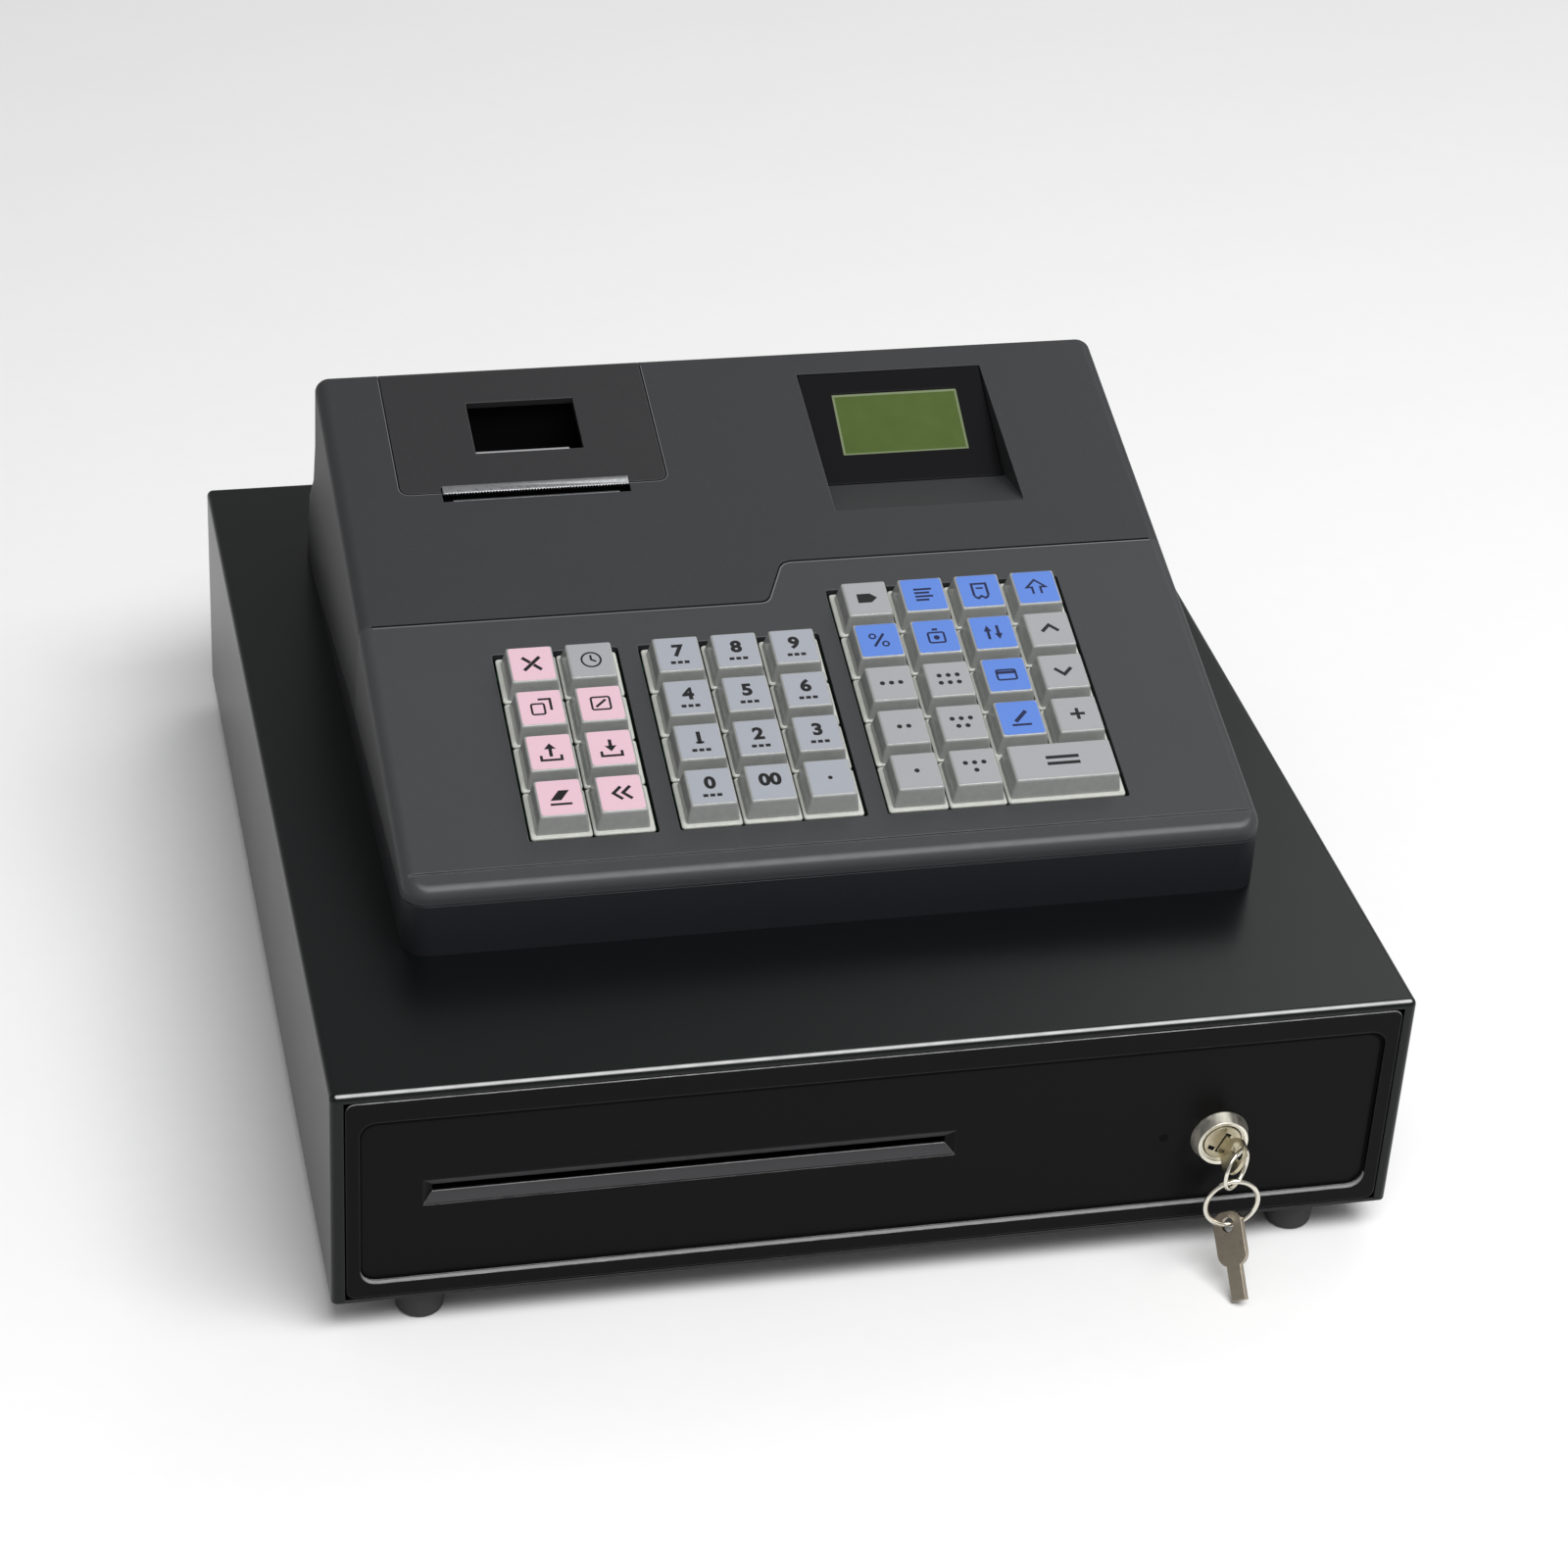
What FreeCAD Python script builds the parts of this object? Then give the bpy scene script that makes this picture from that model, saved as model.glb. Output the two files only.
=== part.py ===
import FreeCAD, Part
import math
import os
import Sketcher

# An electronic cash register standing on a steel cash drawer, in millimetres.
# X runs to the right, Y to the rear and Z up, from the floor below the middle of the whole outline.

# Every size that can be chosen by itself, with the name that the sheet gives it.
SIZES = {
    # Steel case of the cash drawer
    "case_width": 335.0,
    "case_depth": 368.0,
    "case_height": 77.9,
    "sheet_gauge": 1.0,
    "case_bend": 2.2,
    "side_flange": 4.0,
    "top_flange": 2.6,
    "cable_hole_width": 16.0,
    "cable_hole_height": 10.0,
    "cable_hole_offset": 60.0,
    "cable_hole_rise": 18.0,
    "pan_upstand": 12.0,
    # Rubber feet
    "foot_height": 12.0,
    "foot_top_radius": 8.1,
    "foot_base_radius": 7.3,
    "foot_edge": 1.5,
    "foot_inset_side": 28.0,
    "foot_inset_front": 10.9,
    "foot_inset_rear": 32.0,
    # Runners
    "rail_depth": 12.0,
    "rail_height": 30.0,
    "rail_rise": 16.0,
    "rail_wall": 3.0,
    "rail_rear_room": 20.0,
    "rail_start": 22.0,
    "runner_gap": 0.5,
    # Sliding drawer
    "drawer_rise": 3.0,
    "drawer_rear_room": 69.0,
    "drawer_height": 58.0,
    "drawer_wall": 1.0,
    "front_wall_height": 17.0,
    # Drawer front
    "front_depth": 14.0,
    "front_gap": 0.5,
    "front_rise": 1.5,
    "front_plate": 5.0,
    "front_rim": 3.0,
    "front_corner": 3.0,
    "panel_sink": 1.8,
    "panel_corner": 5.0,
    "border_side": 4.2,
    "border_top": 7.5,
    "border_base": 5.2,
    "boss_radius": 4.0,
    "boss_spread": 110.0,
    "boss_rise": 12.0,
    # Note slot in the drawer front
    "slot_side_room": 27.8,
    "slot_rise": 38.2,
    "slot_length": 163.6,
    "slot_height": 9.4,
    "slot_bevel_depth": 2.2,
    "slit_inset": 3.0,
    "slit_height": 2.6,
    # Cash tray
    "tray_setback": 50.0,
    "tray_rear_gap": 5.0,
    "tray_height": 50.0,
    "tray_wall": 2.0,
    "tray_gap": 0.8,
    "coin_length": 42.0,
    "clip_axle_radius": 1.5,
    "clip_axle_drop": 6.0,
    "clip_axle_setback": 8.0,
    "clip_arm_share": 0.66,
    "clip_arm_width": 14.0,
    "clip_arm_gauge": 1.6,
    "clip_foot_radius": 4.0,
    "part_gap": 0.3,
    # Solenoid latch at the rear
    "latch_rear_room": 40.0,
    "latch_hook_rise": 20.0,
    "latch_plate_gauge": 3.0,
    "latch_plate_width": 60.0,
    "latch_plate_depth": 34.0,
    "solenoid_width": 24.0,
    "solenoid_length": 30.0,
    "solenoid_offset": 16.0,
    "hook_arm_length": 28.0,
    "hook_arm_width": 4.0,
    "hook_nose": 5.0,
    "hook_nose_gauge": 2.2,
    "hook_hub_radius": 4.5,
    "hook_pin_radius": 2.0,
    "turning_gap": 0.3,
    "strike_offset": 6.0,
    "strike_reach": 7.5,
    "strike_radius": 2.0,
    "strike_plate": 2.0,
    "strike_width": 16.0,
    # Cylinder lock
    "lock_side_room": 58.3,
    "lock_rise": 31.0,
    "lock_flange_radius": 9.3,
    "lock_face_radius": 8.0,
    "lock_stand": 4.2,
    "lock_dish_radius": 6.9,
    "lock_dish_depth": 1.0,
    "lock_body_radius": 7.9,
    "lock_body_length": 24.0,
    "lock_hole_gap": 0.1,
    "lock_nut_radius": 12.0,
    "lock_nut_gauge": 5.0,
    "plug_radius": 6.0,
    "plug_recess": 0.6,
    "cam_gauge": 2.0,
    "cam_width": 10.0,
    "cam_reach": 22.0,
    # Keys of the lock and their rings
    "bow_radius": 5.8,
    "bow_gauge": 1.3,
    "bow_turn": 26.0,
    "bow_shift": 1.6,
    "bow_stand": 3.0,
    "bow_slot_radius": 2.1,
    "bow_slot_half": 1.6,
    "bow_slot_shift": 4.0,
    "shank_width": 6.0,
    "slot_from_face": 9.6,
    "link_ring_radius": 6.6,
    "link_wire_radius": 0.65,
    "link_ring_turn": 42.0,
    "key_ring_radius": 8.45,
    "key_wire_radius": 0.8,
    "ring_touch": 0.1,
    "ring_seat_gap": 1.3,
    "spare_lean": 48.0,
    "spare_twist": 40.0,
    "spare_gauge": 1.8,
    "spare_bow_width": 10.4,
    "spare_bow_length": 13.2,
    "spare_bow_head": 4.0,
    "spare_hole_radius": 2.3,
    "spare_blade_width": 5.0,
    "floor_clearance": 2.0,
    "tip_overhang": 1.67,
    # Register housing
    "register_width": 273.2,
    "register_setback": 66.0,
    "shell_wall": 2.5,
    "shell_corner": 8.0,
    "shell_rear_corner": 5.0,
    "shell_brow": 4.0,
    "groove_setback": 73.2,
    "groove_rise": 25.6,
    "groove_width": 0.8,
    "groove_depth": 0.5,
    "deck_angle": 14.97,
    "seam_reveal": 0.35,
    "seam_front_rise": 18.4,
    "seam_mid_setback": 150.0,
    "seam_mid_rise": 16.0,
    "seam_bend_setback": 205.0,
    "seam_bend_rise": 13.3,
    "seam_low_setback": 255.0,
    "seam_low_rise": 7.2,
    "seam_end_step": 15.0,
    "seam_end_gap": 2.5,
    "rear_neck_step": 2.5,
    "rear_neck_drop": 26.1,
    "rear_waist_step": 8.0,
    "rear_waist_rise": 42.5,
    "rear_flare_step": 21.5,
    "rear_flare_rise": 28.6,
    "rear_foot_step": 30.7,
    "post_radius": 4.0,
    "post_inset": 8.0,
    "front_post_setback": 80.0,
    "rear_post_room": 14.0,
    # Parting line between the two covers
    "parting_gap": 0.3,
    "parting_left_room": 15.675,
    "parting_right_room": 14.425,
    "parting_step_left": -1.6,
    "parting_step_right": 5.4,
    "parting_round": 3.0,
    # Keyboard
    "key_pitch": 19.05,
    "well_start": 9.625,
    "well_side_margin": 1.4,
    "well_end_margin": 1.85,
    "well_corner": 1.0,
    "digit_block": -18.6,
    "left_block_gap": 6.375,
    "right_block_gap": 6.125,
    "key_stand": 6.8,
    "key_sink": 3.7,
    "key_gap": 1.05,
    "key_side_taper": 3.4,
    "key_end_taper": 3.0,
    "key_corner": 0.8,
    "stem_depth": 8.2,
    "key_wall": 1.3,
    "stem_radius": 2.2,
    "switch_bore_gap": 0.3,
    "switch_radius": 4.0,
    "switch_height": 7.0,
    "board_drop": 13.0,
    "board_gauge": 1.6,
    "board_side_room": 7.5,
    "board_start": 5.0,
    "board_end_room": 4.425,
    "board_boss_radius": 2.2,
    "board_boss_inset": 3.5,
    # Main circuit board with its sockets
    "main_board_side_room": 18.6,
    "main_board_width": 138.0,
    "main_board_length": 106.0,
    "main_board_step": 14.0,
    "main_board_rise": 8.0,
    "main_post_radius": 3.0,
    "main_post_inset": 6.0,
    "socket_length": 24.0,
    "socket_step": 23.4,
    "data_socket_side_room": 66.6,
    "data_socket_width": 14.0,
    "data_socket_height": 12.0,
    "data_cavity_width": 9.8,
    "data_cavity_height": 6.8,
    "cavity_depth": 11.0,
    "power_socket_side_room": 40.6,
    "power_socket_width": 10.0,
    "power_socket_height": 11.0,
    "power_bore_radius": 3.2,
    "power_pin_radius": 1.0,
    "socket_gap": 0.4,
    # Display
    "display_side_room": 42.6,
    "display_width": 65.4,
    "display_front_room": 22.0,
    "display_front_length": 22.5,
    "display_rear_length": 45.3,
    "display_rear_room": 13.7,
    "display_sink": 10.1,
    "display_tub_wall": 3.0,
    "display_tub_floor": 5.4,
    "window_gap": 0.3,
    "window_gauge": 1.9,
    "window_ledge": 3.0,
    "screen_left_gap": 7.4,
    "screen_right_gap": 6.0,
    "screen_start": 7.0,
    "screen_rear_gap": 4.9,
    "screen_gauge": 4.0,
    "driver_board_gauge": 1.6,
    # Printer lid
    "lid_side_room": 21.8,
    "lid_width": 89.5,
    "lid_length": 61.5,
    "lid_gap": 0.4,
    "lid_corner": 3.0,
    "lid_seat_gauge": 2.5,
    "lid_seat_width": 3.5,
    "lid_seat_room": 10.5,
    "hinge_room": 4.5,
    "hinge_radius": 2.7,
    "hinge_end_gap": 0.6,
    "hinge_pin_radius": 1.5,
    "hinge_pin_reach": 4.0,
    "ear_width": 6.0,
    "ear_front_reach": 4.0,
    "ear_rear_reach": 1.8,
    "ear_depth": 8.4,
    "view_side_gap": 27.4,
    "view_width": 36.7,
    "view_front_gap": 17.6,
    "view_length": 24.9,
    # Paper bay, printing mechanism and tear bar
    "bay_left_gap": 6.8,
    "bay_right_gap": 6.7,
    "bay_front_gap": 6.5,
    "bay_length": 42.5,
    "bay_top": 3.0,
    "bay_depth": 55.0,
    "bay_post_inset": 8.0,
    "bay_wall": 2.0,
    "frame_front_reach": 16.0,
    "frame_left_gap": 8.8,
    "frame_right_gap": 8.7,
    "frame_side": 4.0,
    "frame_wall": 2.0,
    "frame_base": 24.0,
    "frame_top": 5.0,
    "platen_radius": 5.0,
    "platen_front_reach": 6.7,
    "platen_drop": 14.0,
    "platen_shaft_radius": 1.6,
    "head_gap": 0.3,
    "head_gauge": 3.4,
    "head_top": 8.0,
    "tear_leaf": 1.6,
    "tear_left_gap": 13.8,
    "tear_right_gap": 13.3,
    "tear_front_reach": 1.3,
    "tear_width": 3.4,
    "tear_stand": 0.9,
    "tear_gauge": 0.8,
    "paper_slot_width": 3.3,
    # How far a cutting shape runs past what it cuts
    "overrun": 2.0,
}

# The keys of each well, row by row from the front, and those that take two columns.
LEFT_ROWS = (
    ("key_clear", "key_back"),
    ("key_payout", "key_refund"),
    ("key_reprint", "key_void"),
    ("key_cancel", "key_time"),
)
DIGIT_ROWS = (
    ("key_0", "key_00", "key_point"),
    ("key_1", "key_2", "key_3"),
    ("key_4", "key_5", "key_6"),
    ("key_7", "key_8", "key_9"),
)
RIGHT_ROWS = (
    ("key_group_1", "key_group_4", "key_total"),
    ("key_group_2", "key_group_5", "key_cheque", "key_subtotal"),
    ("key_group_3", "key_group_6", "key_card", "key_down"),
    ("key_discount", "key_clerk", "key_exchange", "key_up"),
    ("key_item", "key_feed", "key_receipt", "key_shift"),
)
WIDE_KEYS = ("key_total",)
BILL_BAYS = 4
COIN_ROWS = 2

X_AXIS = FreeCAD.Vector(1, 0, 0)
Y_AXIS = FreeCAD.Vector(0, 1, 0)
Z_AXIS = FreeCAD.Vector(0, 0, 1)
QUARTER = 90

# How close to one the cosine of two directions is when they count as the same.
PARALLEL_SHARE = 0.999


class Size:
    """A number that keeps the formula the document stores for it."""

    def __init__(self, value, text=None):
        self.value = float(value)
        self.text = text or repr(float(value))

    def __add__(self, other):
        other = sized(other)
        return Size(self.value + other.value, f"({self.text} + {other.text})")

    def __sub__(self, other):
        other = sized(other)
        return Size(self.value - other.value, f"({self.text} - {other.text})")

    def __mul__(self, other):
        other = sized(other)
        return Size(self.value * other.value, f"({self.text} * {other.text})")

    def __truediv__(self, other):
        other = sized(other)
        return Size(self.value / other.value, f"({self.text} / {other.text})")

    def __radd__(self, other):
        return sized(other) + self

    def __rsub__(self, other):
        return sized(other) - self

    def __rmul__(self, other):
        return sized(other) * self

    def __neg__(self):
        return Size(-self.value, f"(0 - {self.text})")


def sized(amount):
    """Give a plain number the same form as a named size."""
    return amount if isinstance(amount, Size) else Size(amount)


def cosine(angle):
    return Size(math.cos(math.radians(angle.value)), f"cos({angle.text})")


def sine(angle):
    return Size(math.sin(math.radians(angle.value)), f"sin({angle.text})")


def tangent(angle):
    return Size(math.tan(math.radians(angle.value)), f"tan({angle.text})")


def angle_of(rise, run):
    """The slope of a rise over a run, in degrees."""
    slope = rise / run
    return Size(math.degrees(math.atan(slope.value)), f"(atan({slope.text}) / 1 deg)")


def angle_of_sine(share):
    """The angle whose sine is the given share, in degrees."""
    return Size(math.degrees(math.asin(share.value)), f"(asin({share.text}) / 1 deg)")


def length_of(run, rise):
    """The long side of a right triangle."""
    square = run * run + rise * rise
    return Size(math.sqrt(square.value), f"sqrt({square.text})")


class Named:
    """All named sizes as attributes."""

    def __init__(self, values):
        for name, value in values.items():
            setattr(self, name, Size(value, f"sizes.{name}"))


size = Named(SIZES)
doc = FreeCAD.newDocument("cash_register")


def fill_sheet():
    """Put every named size in the sheet under its own name."""
    sheet = doc.addObject("Spreadsheet::Sheet", "sizes")
    for row, (name, value) in enumerate(SIZES.items(), start=1):
        sheet.set(f"A{row}", name)
        sheet.set(f"B{row}", repr(value))
        sheet.setAlias(f"B{row}", name)
    doc.recompute()
    return sheet


# Small builders that tie every size and place to the sheet

def link(thing, target, amount):
    """Tie one property to its formula."""
    thing.setExpression(target, sized(amount).text)


def place(thing, at=(0, 0, 0), axis=None, angle=0):
    """Put a thing at a point, turned about an axis."""
    if axis is not None:
        turn = sized(angle)
        thing.Placement = FreeCAD.Placement(FreeCAD.Vector(), FreeCAD.Rotation(axis, turn.value))
        link(thing, "Placement.Rotation.Angle", turn)
    for letter, amount in zip("xyz", at):
        link(thing, f"Placement.Base.{letter}", amount)
    return thing


def block(name, low, high):
    """A box between two corners."""
    thing = doc.addObject("Part::Box", name)
    for side, start, end in zip(("Length", "Width", "Height"), low, high):
        link(thing, side, sized(end) - start)
    return place(thing, low)


AXIS_TURNS = {"x": (Y_AXIS, QUARTER), "y": (X_AXIS, -QUARTER), "z": (None, 0)}


def rod(name, start, radius, length, along):
    """A cylinder from a point along one axis."""
    thing = doc.addObject("Part::Cylinder", name)
    link(thing, "Radius", radius)
    link(thing, "Height", length)
    return place(thing, start, *AXIS_TURNS[along])


def cone(name, start, start_radius, end_radius, length, along):
    """A round taper from a point along one axis."""
    thing = doc.addObject("Part::Cone", name)
    link(thing, "Radius1", start_radius)
    link(thing, "Radius2", end_radius)
    link(thing, "Height", length)
    return place(thing, start, *AXIS_TURNS[along])


def hexagon(name, start, radius, length, along):
    """A six-sided bar from a point along one axis."""
    thing = doc.addObject("Part::Prism", name)
    thing.Polygon = 6
    link(thing, "Circumradius", radius)
    link(thing, "Height", length)
    return place(thing, start, *AXIS_TURNS[along])


def hoop(name, radius, wire_radius):
    """A wire ring about its own Z axis."""
    thing = doc.addObject("Part::Torus", name)
    link(thing, "Radius1", radius)
    link(thing, "Radius2", wire_radius)
    return thing


def taper(name, base, top, length):
    """A block that narrows along its own Y axis, centred on that axis."""
    thing = doc.addObject("Part::Wedge", name)
    ends = {"Xmin": -base[0] / 2, "Xmax": base[0] / 2, "Zmin": -base[1] / 2, "Zmax": base[1] / 2,
            "X2min": -top[0] / 2, "X2max": top[0] / 2, "Z2min": -top[1] / 2, "Z2max": top[1] / 2,
            "Ymin": 0, "Ymax": length}
    for target, amount in ends.items():
        link(thing, target, amount)
    return thing


def outline(body, plane_name, points):
    """A closed outline of straight lines, each corner tied to the sheet."""
    sketch = body.newObject("Sketcher::SketchObject", f"{body.Name}_outline")
    plane = next(item for item in body.Origin.OriginFeatures if item.Role == plane_name)
    sketch.AttachmentSupport = (plane, [""])
    sketch.MapMode = "FlatFace"
    corners = [(sized(across), sized(up)) for across, up in points]
    count = len(corners)
    spots = [FreeCAD.Vector(across.value, up.value, 0) for across, up in corners]
    for index in range(count):
        sketch.addGeometry(Part.LineSegment(spots[index], spots[(index + 1) % count]), False)
    for index in range(count):
        sketch.addConstraint(Sketcher.Constraint("Coincident", index, 2, (index + 1) % count, 1))
    for index, (across, up) in enumerate(corners):
        for kind, amount in (("DistanceX", across), ("DistanceY", up)):
            number = sketch.addConstraint(Sketcher.Constraint(kind, -1, 1, index, 1, amount.value))
            link(sketch, f"Constraints[{number}]", amount)
    return sketch


def profile(name, plane_name, points, length, middle=False):
    """A body made by padding an outline."""
    body = doc.addObject("PartDesign::Body", name)
    sketch = outline(body, plane_name, points)
    pad = body.newObject("PartDesign::Pad", f"{name}_pad")
    pad.Profile = sketch
    pad.Midplane = middle
    link(pad, "Length", length)
    return body


def round_body(body, radius, wanted):
    """Round the edges of a body that the test picks."""
    doc.recompute()
    tip = body.Tip
    names = [f"Edge{number}" for number, edge in enumerate(tip.Shape.Edges, start=1) if wanted(edge)]
    fillet = body.newObject("PartDesign::Fillet", f"{body.Name}_round")
    fillet.Base = (tip, names)
    link(fillet, "Radius", radius)
    return body


def soften(name, thing, radius, wanted):
    """Round the edges of a thing that the test picks."""
    doc.recompute()
    fillet = doc.addObject("Part::Fillet", name)
    fillet.Base = thing
    picked = [number for number, edge in enumerate(thing.Shape.Edges, start=1) if wanted(edge)]
    fillet.Edges = [(number, radius.value, radius.value) for number in picked]
    return fillet


def join(name, things):
    """One solid made of things that touch."""
    thing = doc.addObject("Part::MultiFuse", name)
    thing.Shapes = list(things)
    return thing


def cut(name, base, tools):
    """A thing with others taken away."""
    tools = list(tools)
    thing = doc.addObject("Part::Cut", name)
    thing.Base = base
    thing.Tool = tools[0] if len(tools) == 1 else join(f"{name}_tools", tools)
    return thing


def common(name, first, second):
    """What two things share."""
    thing = doc.addObject("Part::Common", name)
    thing.Base = first
    thing.Tool = second
    return thing


def group(name, things):
    """Separate solids that share one node."""
    thing = doc.addObject("Part::Compound", name)
    thing.Links = list(things)
    return thing


def same_way(edge, axis):
    """Whether a straight edge runs along an axis."""
    if not isinstance(edge.Curve, Part.Line):
        return False
    return abs(edge.Curve.Direction.dot(axis)) > PARALLEL_SHARE


def middle_of(edge):
    return edge.CenterOfMass


def in_order(first, second):
    """Two places, the lower one first."""
    return sorted((first, second), key=lambda amount: amount.value)


# Places that several pieces share

case_floor_z = size.foot_height
case_top_z = case_floor_z + size.case_height
half_case = size.case_width / 2
lock_face_reach = size.lock_stand - size.panel_sink
hole_reach = lock_face_reach - size.plug_recess + size.slot_from_face
hook_ring_top = size.lock_rise + size.bow_slot_shift * cosine(size.bow_turn)
link_ring_base = hook_ring_top - size.link_ring_radius * 2
key_ring_top = link_ring_base + size.link_wire_radius + size.key_wire_radius + size.ring_touch
key_ring_base = key_ring_top - size.key_ring_radius * 2
spare_pivot_z = case_floor_z + key_ring_base
spare_length = (spare_pivot_z - size.floor_clearance) / cosine(size.spare_lean)
spare_reach = spare_length * sine(size.spare_lean)
bunch_reach = hole_reach + spare_reach + size.tip_overhang
front_y = -(size.case_depth - bunch_reach) / 2
rear_y = front_y + size.case_depth
lock_x = half_case - size.lock_side_room
bow_hole_x = lock_x + size.bow_slot_shift * sine(size.bow_turn)
lock_z = case_floor_z + size.lock_rise
drawer_half = half_case - size.sheet_gauge - size.rail_depth - size.runner_gap
drawer_y = front_y + size.front_depth
drawer_end_y = rear_y - size.drawer_rear_room
tray_end_y = drawer_end_y - size.tray_rear_gap
latch_y = rear_y - size.latch_rear_room
slot_middle = size.slot_side_room + size.slot_length / 2 - half_case
drawer_z = case_floor_z + size.drawer_rise
half_register = size.register_width / 2
deck_y = front_y + size.groove_setback
deck_z = case_top_z + size.groove_rise
board_top = size.board_gauge - size.board_drop


# The key wells across the deck and along it

class KeyWell:
    """Keys in straight rows that share one opening of the deck."""

    def __init__(self, name, rows):
        self.name = name
        self.rows = rows
        self.columns = max(len(row) for row in rows)
        self.half_width = size.key_pitch * self.columns / 2 + size.well_side_margin
        self.end = size.well_start + size.well_end_margin * 2 + size.key_pitch * len(rows)
        self.middle = size.digit_block

    def keys(self):
        """The name of each key, its place on the deck and whether it is wide."""
        first_row = size.well_start + size.well_end_margin + size.key_pitch / 2
        first_column = self.middle - size.key_pitch * (self.columns - 1) / 2
        for row, names in enumerate(self.rows):
            for column, name in enumerate(names):
                wide = name in WIDE_KEYS
                across = first_column + size.key_pitch * column
                if wide:
                    across = across + size.key_pitch / 2
                yield name, (across, first_row + size.key_pitch * row), wide


left_well = KeyWell("left", LEFT_ROWS)
digit_well = KeyWell("digit", DIGIT_ROWS)
right_well = KeyWell("right", RIGHT_ROWS)
WELLS = (left_well, digit_well, right_well)
left_boss = digit_well.middle - digit_well.half_width - size.left_block_gap / 2
right_boss = digit_well.middle + digit_well.half_width + size.right_block_gap / 2
left_well.middle = left_boss - size.left_block_gap / 2 - left_well.half_width
right_well.middle = right_boss + size.right_block_gap / 2 + right_well.half_width
board_half_width = right_well.middle + right_well.half_width + size.board_side_room
board_end = right_well.end + size.board_end_room
parting_left = left_well.end + size.parting_left_room
parting_right = right_well.end + size.parting_right_room

# Display and printer: places along the deck from its groove, and across it from the middle

display_start = parting_right + size.display_front_room
display_valley = display_start + size.display_front_length
display_end = display_valley + size.display_rear_length
deck_length = display_end + size.display_rear_room
display_right = half_register - size.display_side_room
display_left = display_right - size.display_width
display_slope = angle_of(size.display_sink, size.display_rear_length)
display_run = length_of(size.display_rear_length, size.display_sink)
screen_left = display_left + size.screen_left_gap
screen_right = display_right - size.screen_right_gap
screen_end = display_run - size.screen_rear_gap
lid_left = size.lid_side_room - half_register
lid_right = lid_left + size.lid_width
lid_start = deck_length - size.lid_length
lid_seat_end = deck_length - size.lid_seat_room
hinge_place = deck_length - size.hinge_room
ear_start = hinge_place - size.ear_front_reach
ear_end = hinge_place + size.ear_rear_reach
view_left = lid_left + size.view_side_gap
view_right = view_left + size.view_width
view_start = lid_start + size.view_front_gap
view_end = view_start + size.view_length
bay_left = lid_left + size.bay_left_gap
bay_right = lid_right - size.bay_right_gap
bay_start = lid_start + size.bay_front_gap
bay_end = bay_start + size.bay_length
frame_left = lid_left + size.frame_left_gap
frame_right = lid_right - size.frame_right_gap
frame_start = lid_start - size.frame_front_reach
tear_left = lid_left + size.tear_left_gap
tear_right = lid_right - size.tear_right_gap
tear_start = lid_start - size.tear_front_reach
tear_end = tear_start + size.tear_width
paper_slot_start = tear_start - size.paper_slot_width
platen_place = tear_start - size.platen_front_reach

# Rear of the register, from the end of the deck

deck_end_y = deck_y + deck_length * cosine(size.deck_angle)
deck_end_z = deck_z + deck_length * sine(size.deck_angle)
rear_foot_y = deck_end_y + size.rear_foot_step
seam_end_y = deck_end_y + size.seam_end_step
main_board_end_y = deck_end_y + size.main_board_step
main_board_start_y = main_board_end_y - size.main_board_length
main_board_right = half_register - size.main_board_side_room
main_board_left = main_board_right - size.main_board_width
socket_end_y = deck_end_y + size.socket_step
data_socket_x = half_register - size.data_socket_side_room
power_socket_x = half_register - size.power_socket_side_room


class Slope:
    """A plane that climbs to the rear: places on it are across, along and above it."""

    def __init__(self, start_y, start_z, angle):
        self.start_y = start_y
        self.start_z = start_z
        self.angle = angle
        turn = FreeCAD.Rotation(X_AXIS, angle.value)
        self.normal = turn.multVec(Z_AXIS)

    def point(self, across, along, above):
        """The place in the shared frame."""
        along = sized(along)
        above = sized(above)
        place_y = self.start_y + along * cosine(self.angle) - above * sine(self.angle)
        place_z = self.start_z + along * sine(self.angle) + above * cosine(self.angle)
        return (across, place_y, place_z)

    def block(self, name, low, high):
        """A box that lies along the slope."""
        thing = block(name, low, high)
        return place(thing, self.point(*low), X_AXIS, self.angle)

    def post(self, name, start, radius, length):
        """A cylinder that stands square on the slope."""
        thing = rod(name, start, radius, length, "z")
        return place(thing, self.point(*start), X_AXIS, self.angle)

    def bar(self, name, start, radius, length):
        """A cylinder across the slope."""
        return rod(name, self.point(*start), radius, length, "x")

    def section(self, name, points, middle, width):
        """A shape drawn in side view and padded across the slope."""
        body = profile(name, "YZ_Plane", points, width, middle=True)
        return place(body, (middle, self.start_y, self.start_z), X_AXIS, self.angle)

    def plan(self, name, points, height):
        """A shape drawn from above and padded both ways through the slope."""
        body = profile(name, "XY_Plane", points, height, middle=True)
        return place(body, (0, self.start_y, self.start_z), X_AXIS, self.angle)

    def above(self, spot):
        """How far a spot lies above the slope, for choosing edges."""
        away = spot - FreeCAD.Vector(0, self.start_y.value, self.start_z.value)
        return away.dot(self.normal)


deck = Slope(deck_y, deck_z, size.deck_angle)
valley_point = deck.point(0, display_valley, -size.display_sink)
glass = Slope(valley_point[1], valley_point[2], size.deck_angle + display_slope)


# Steel case

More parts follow.
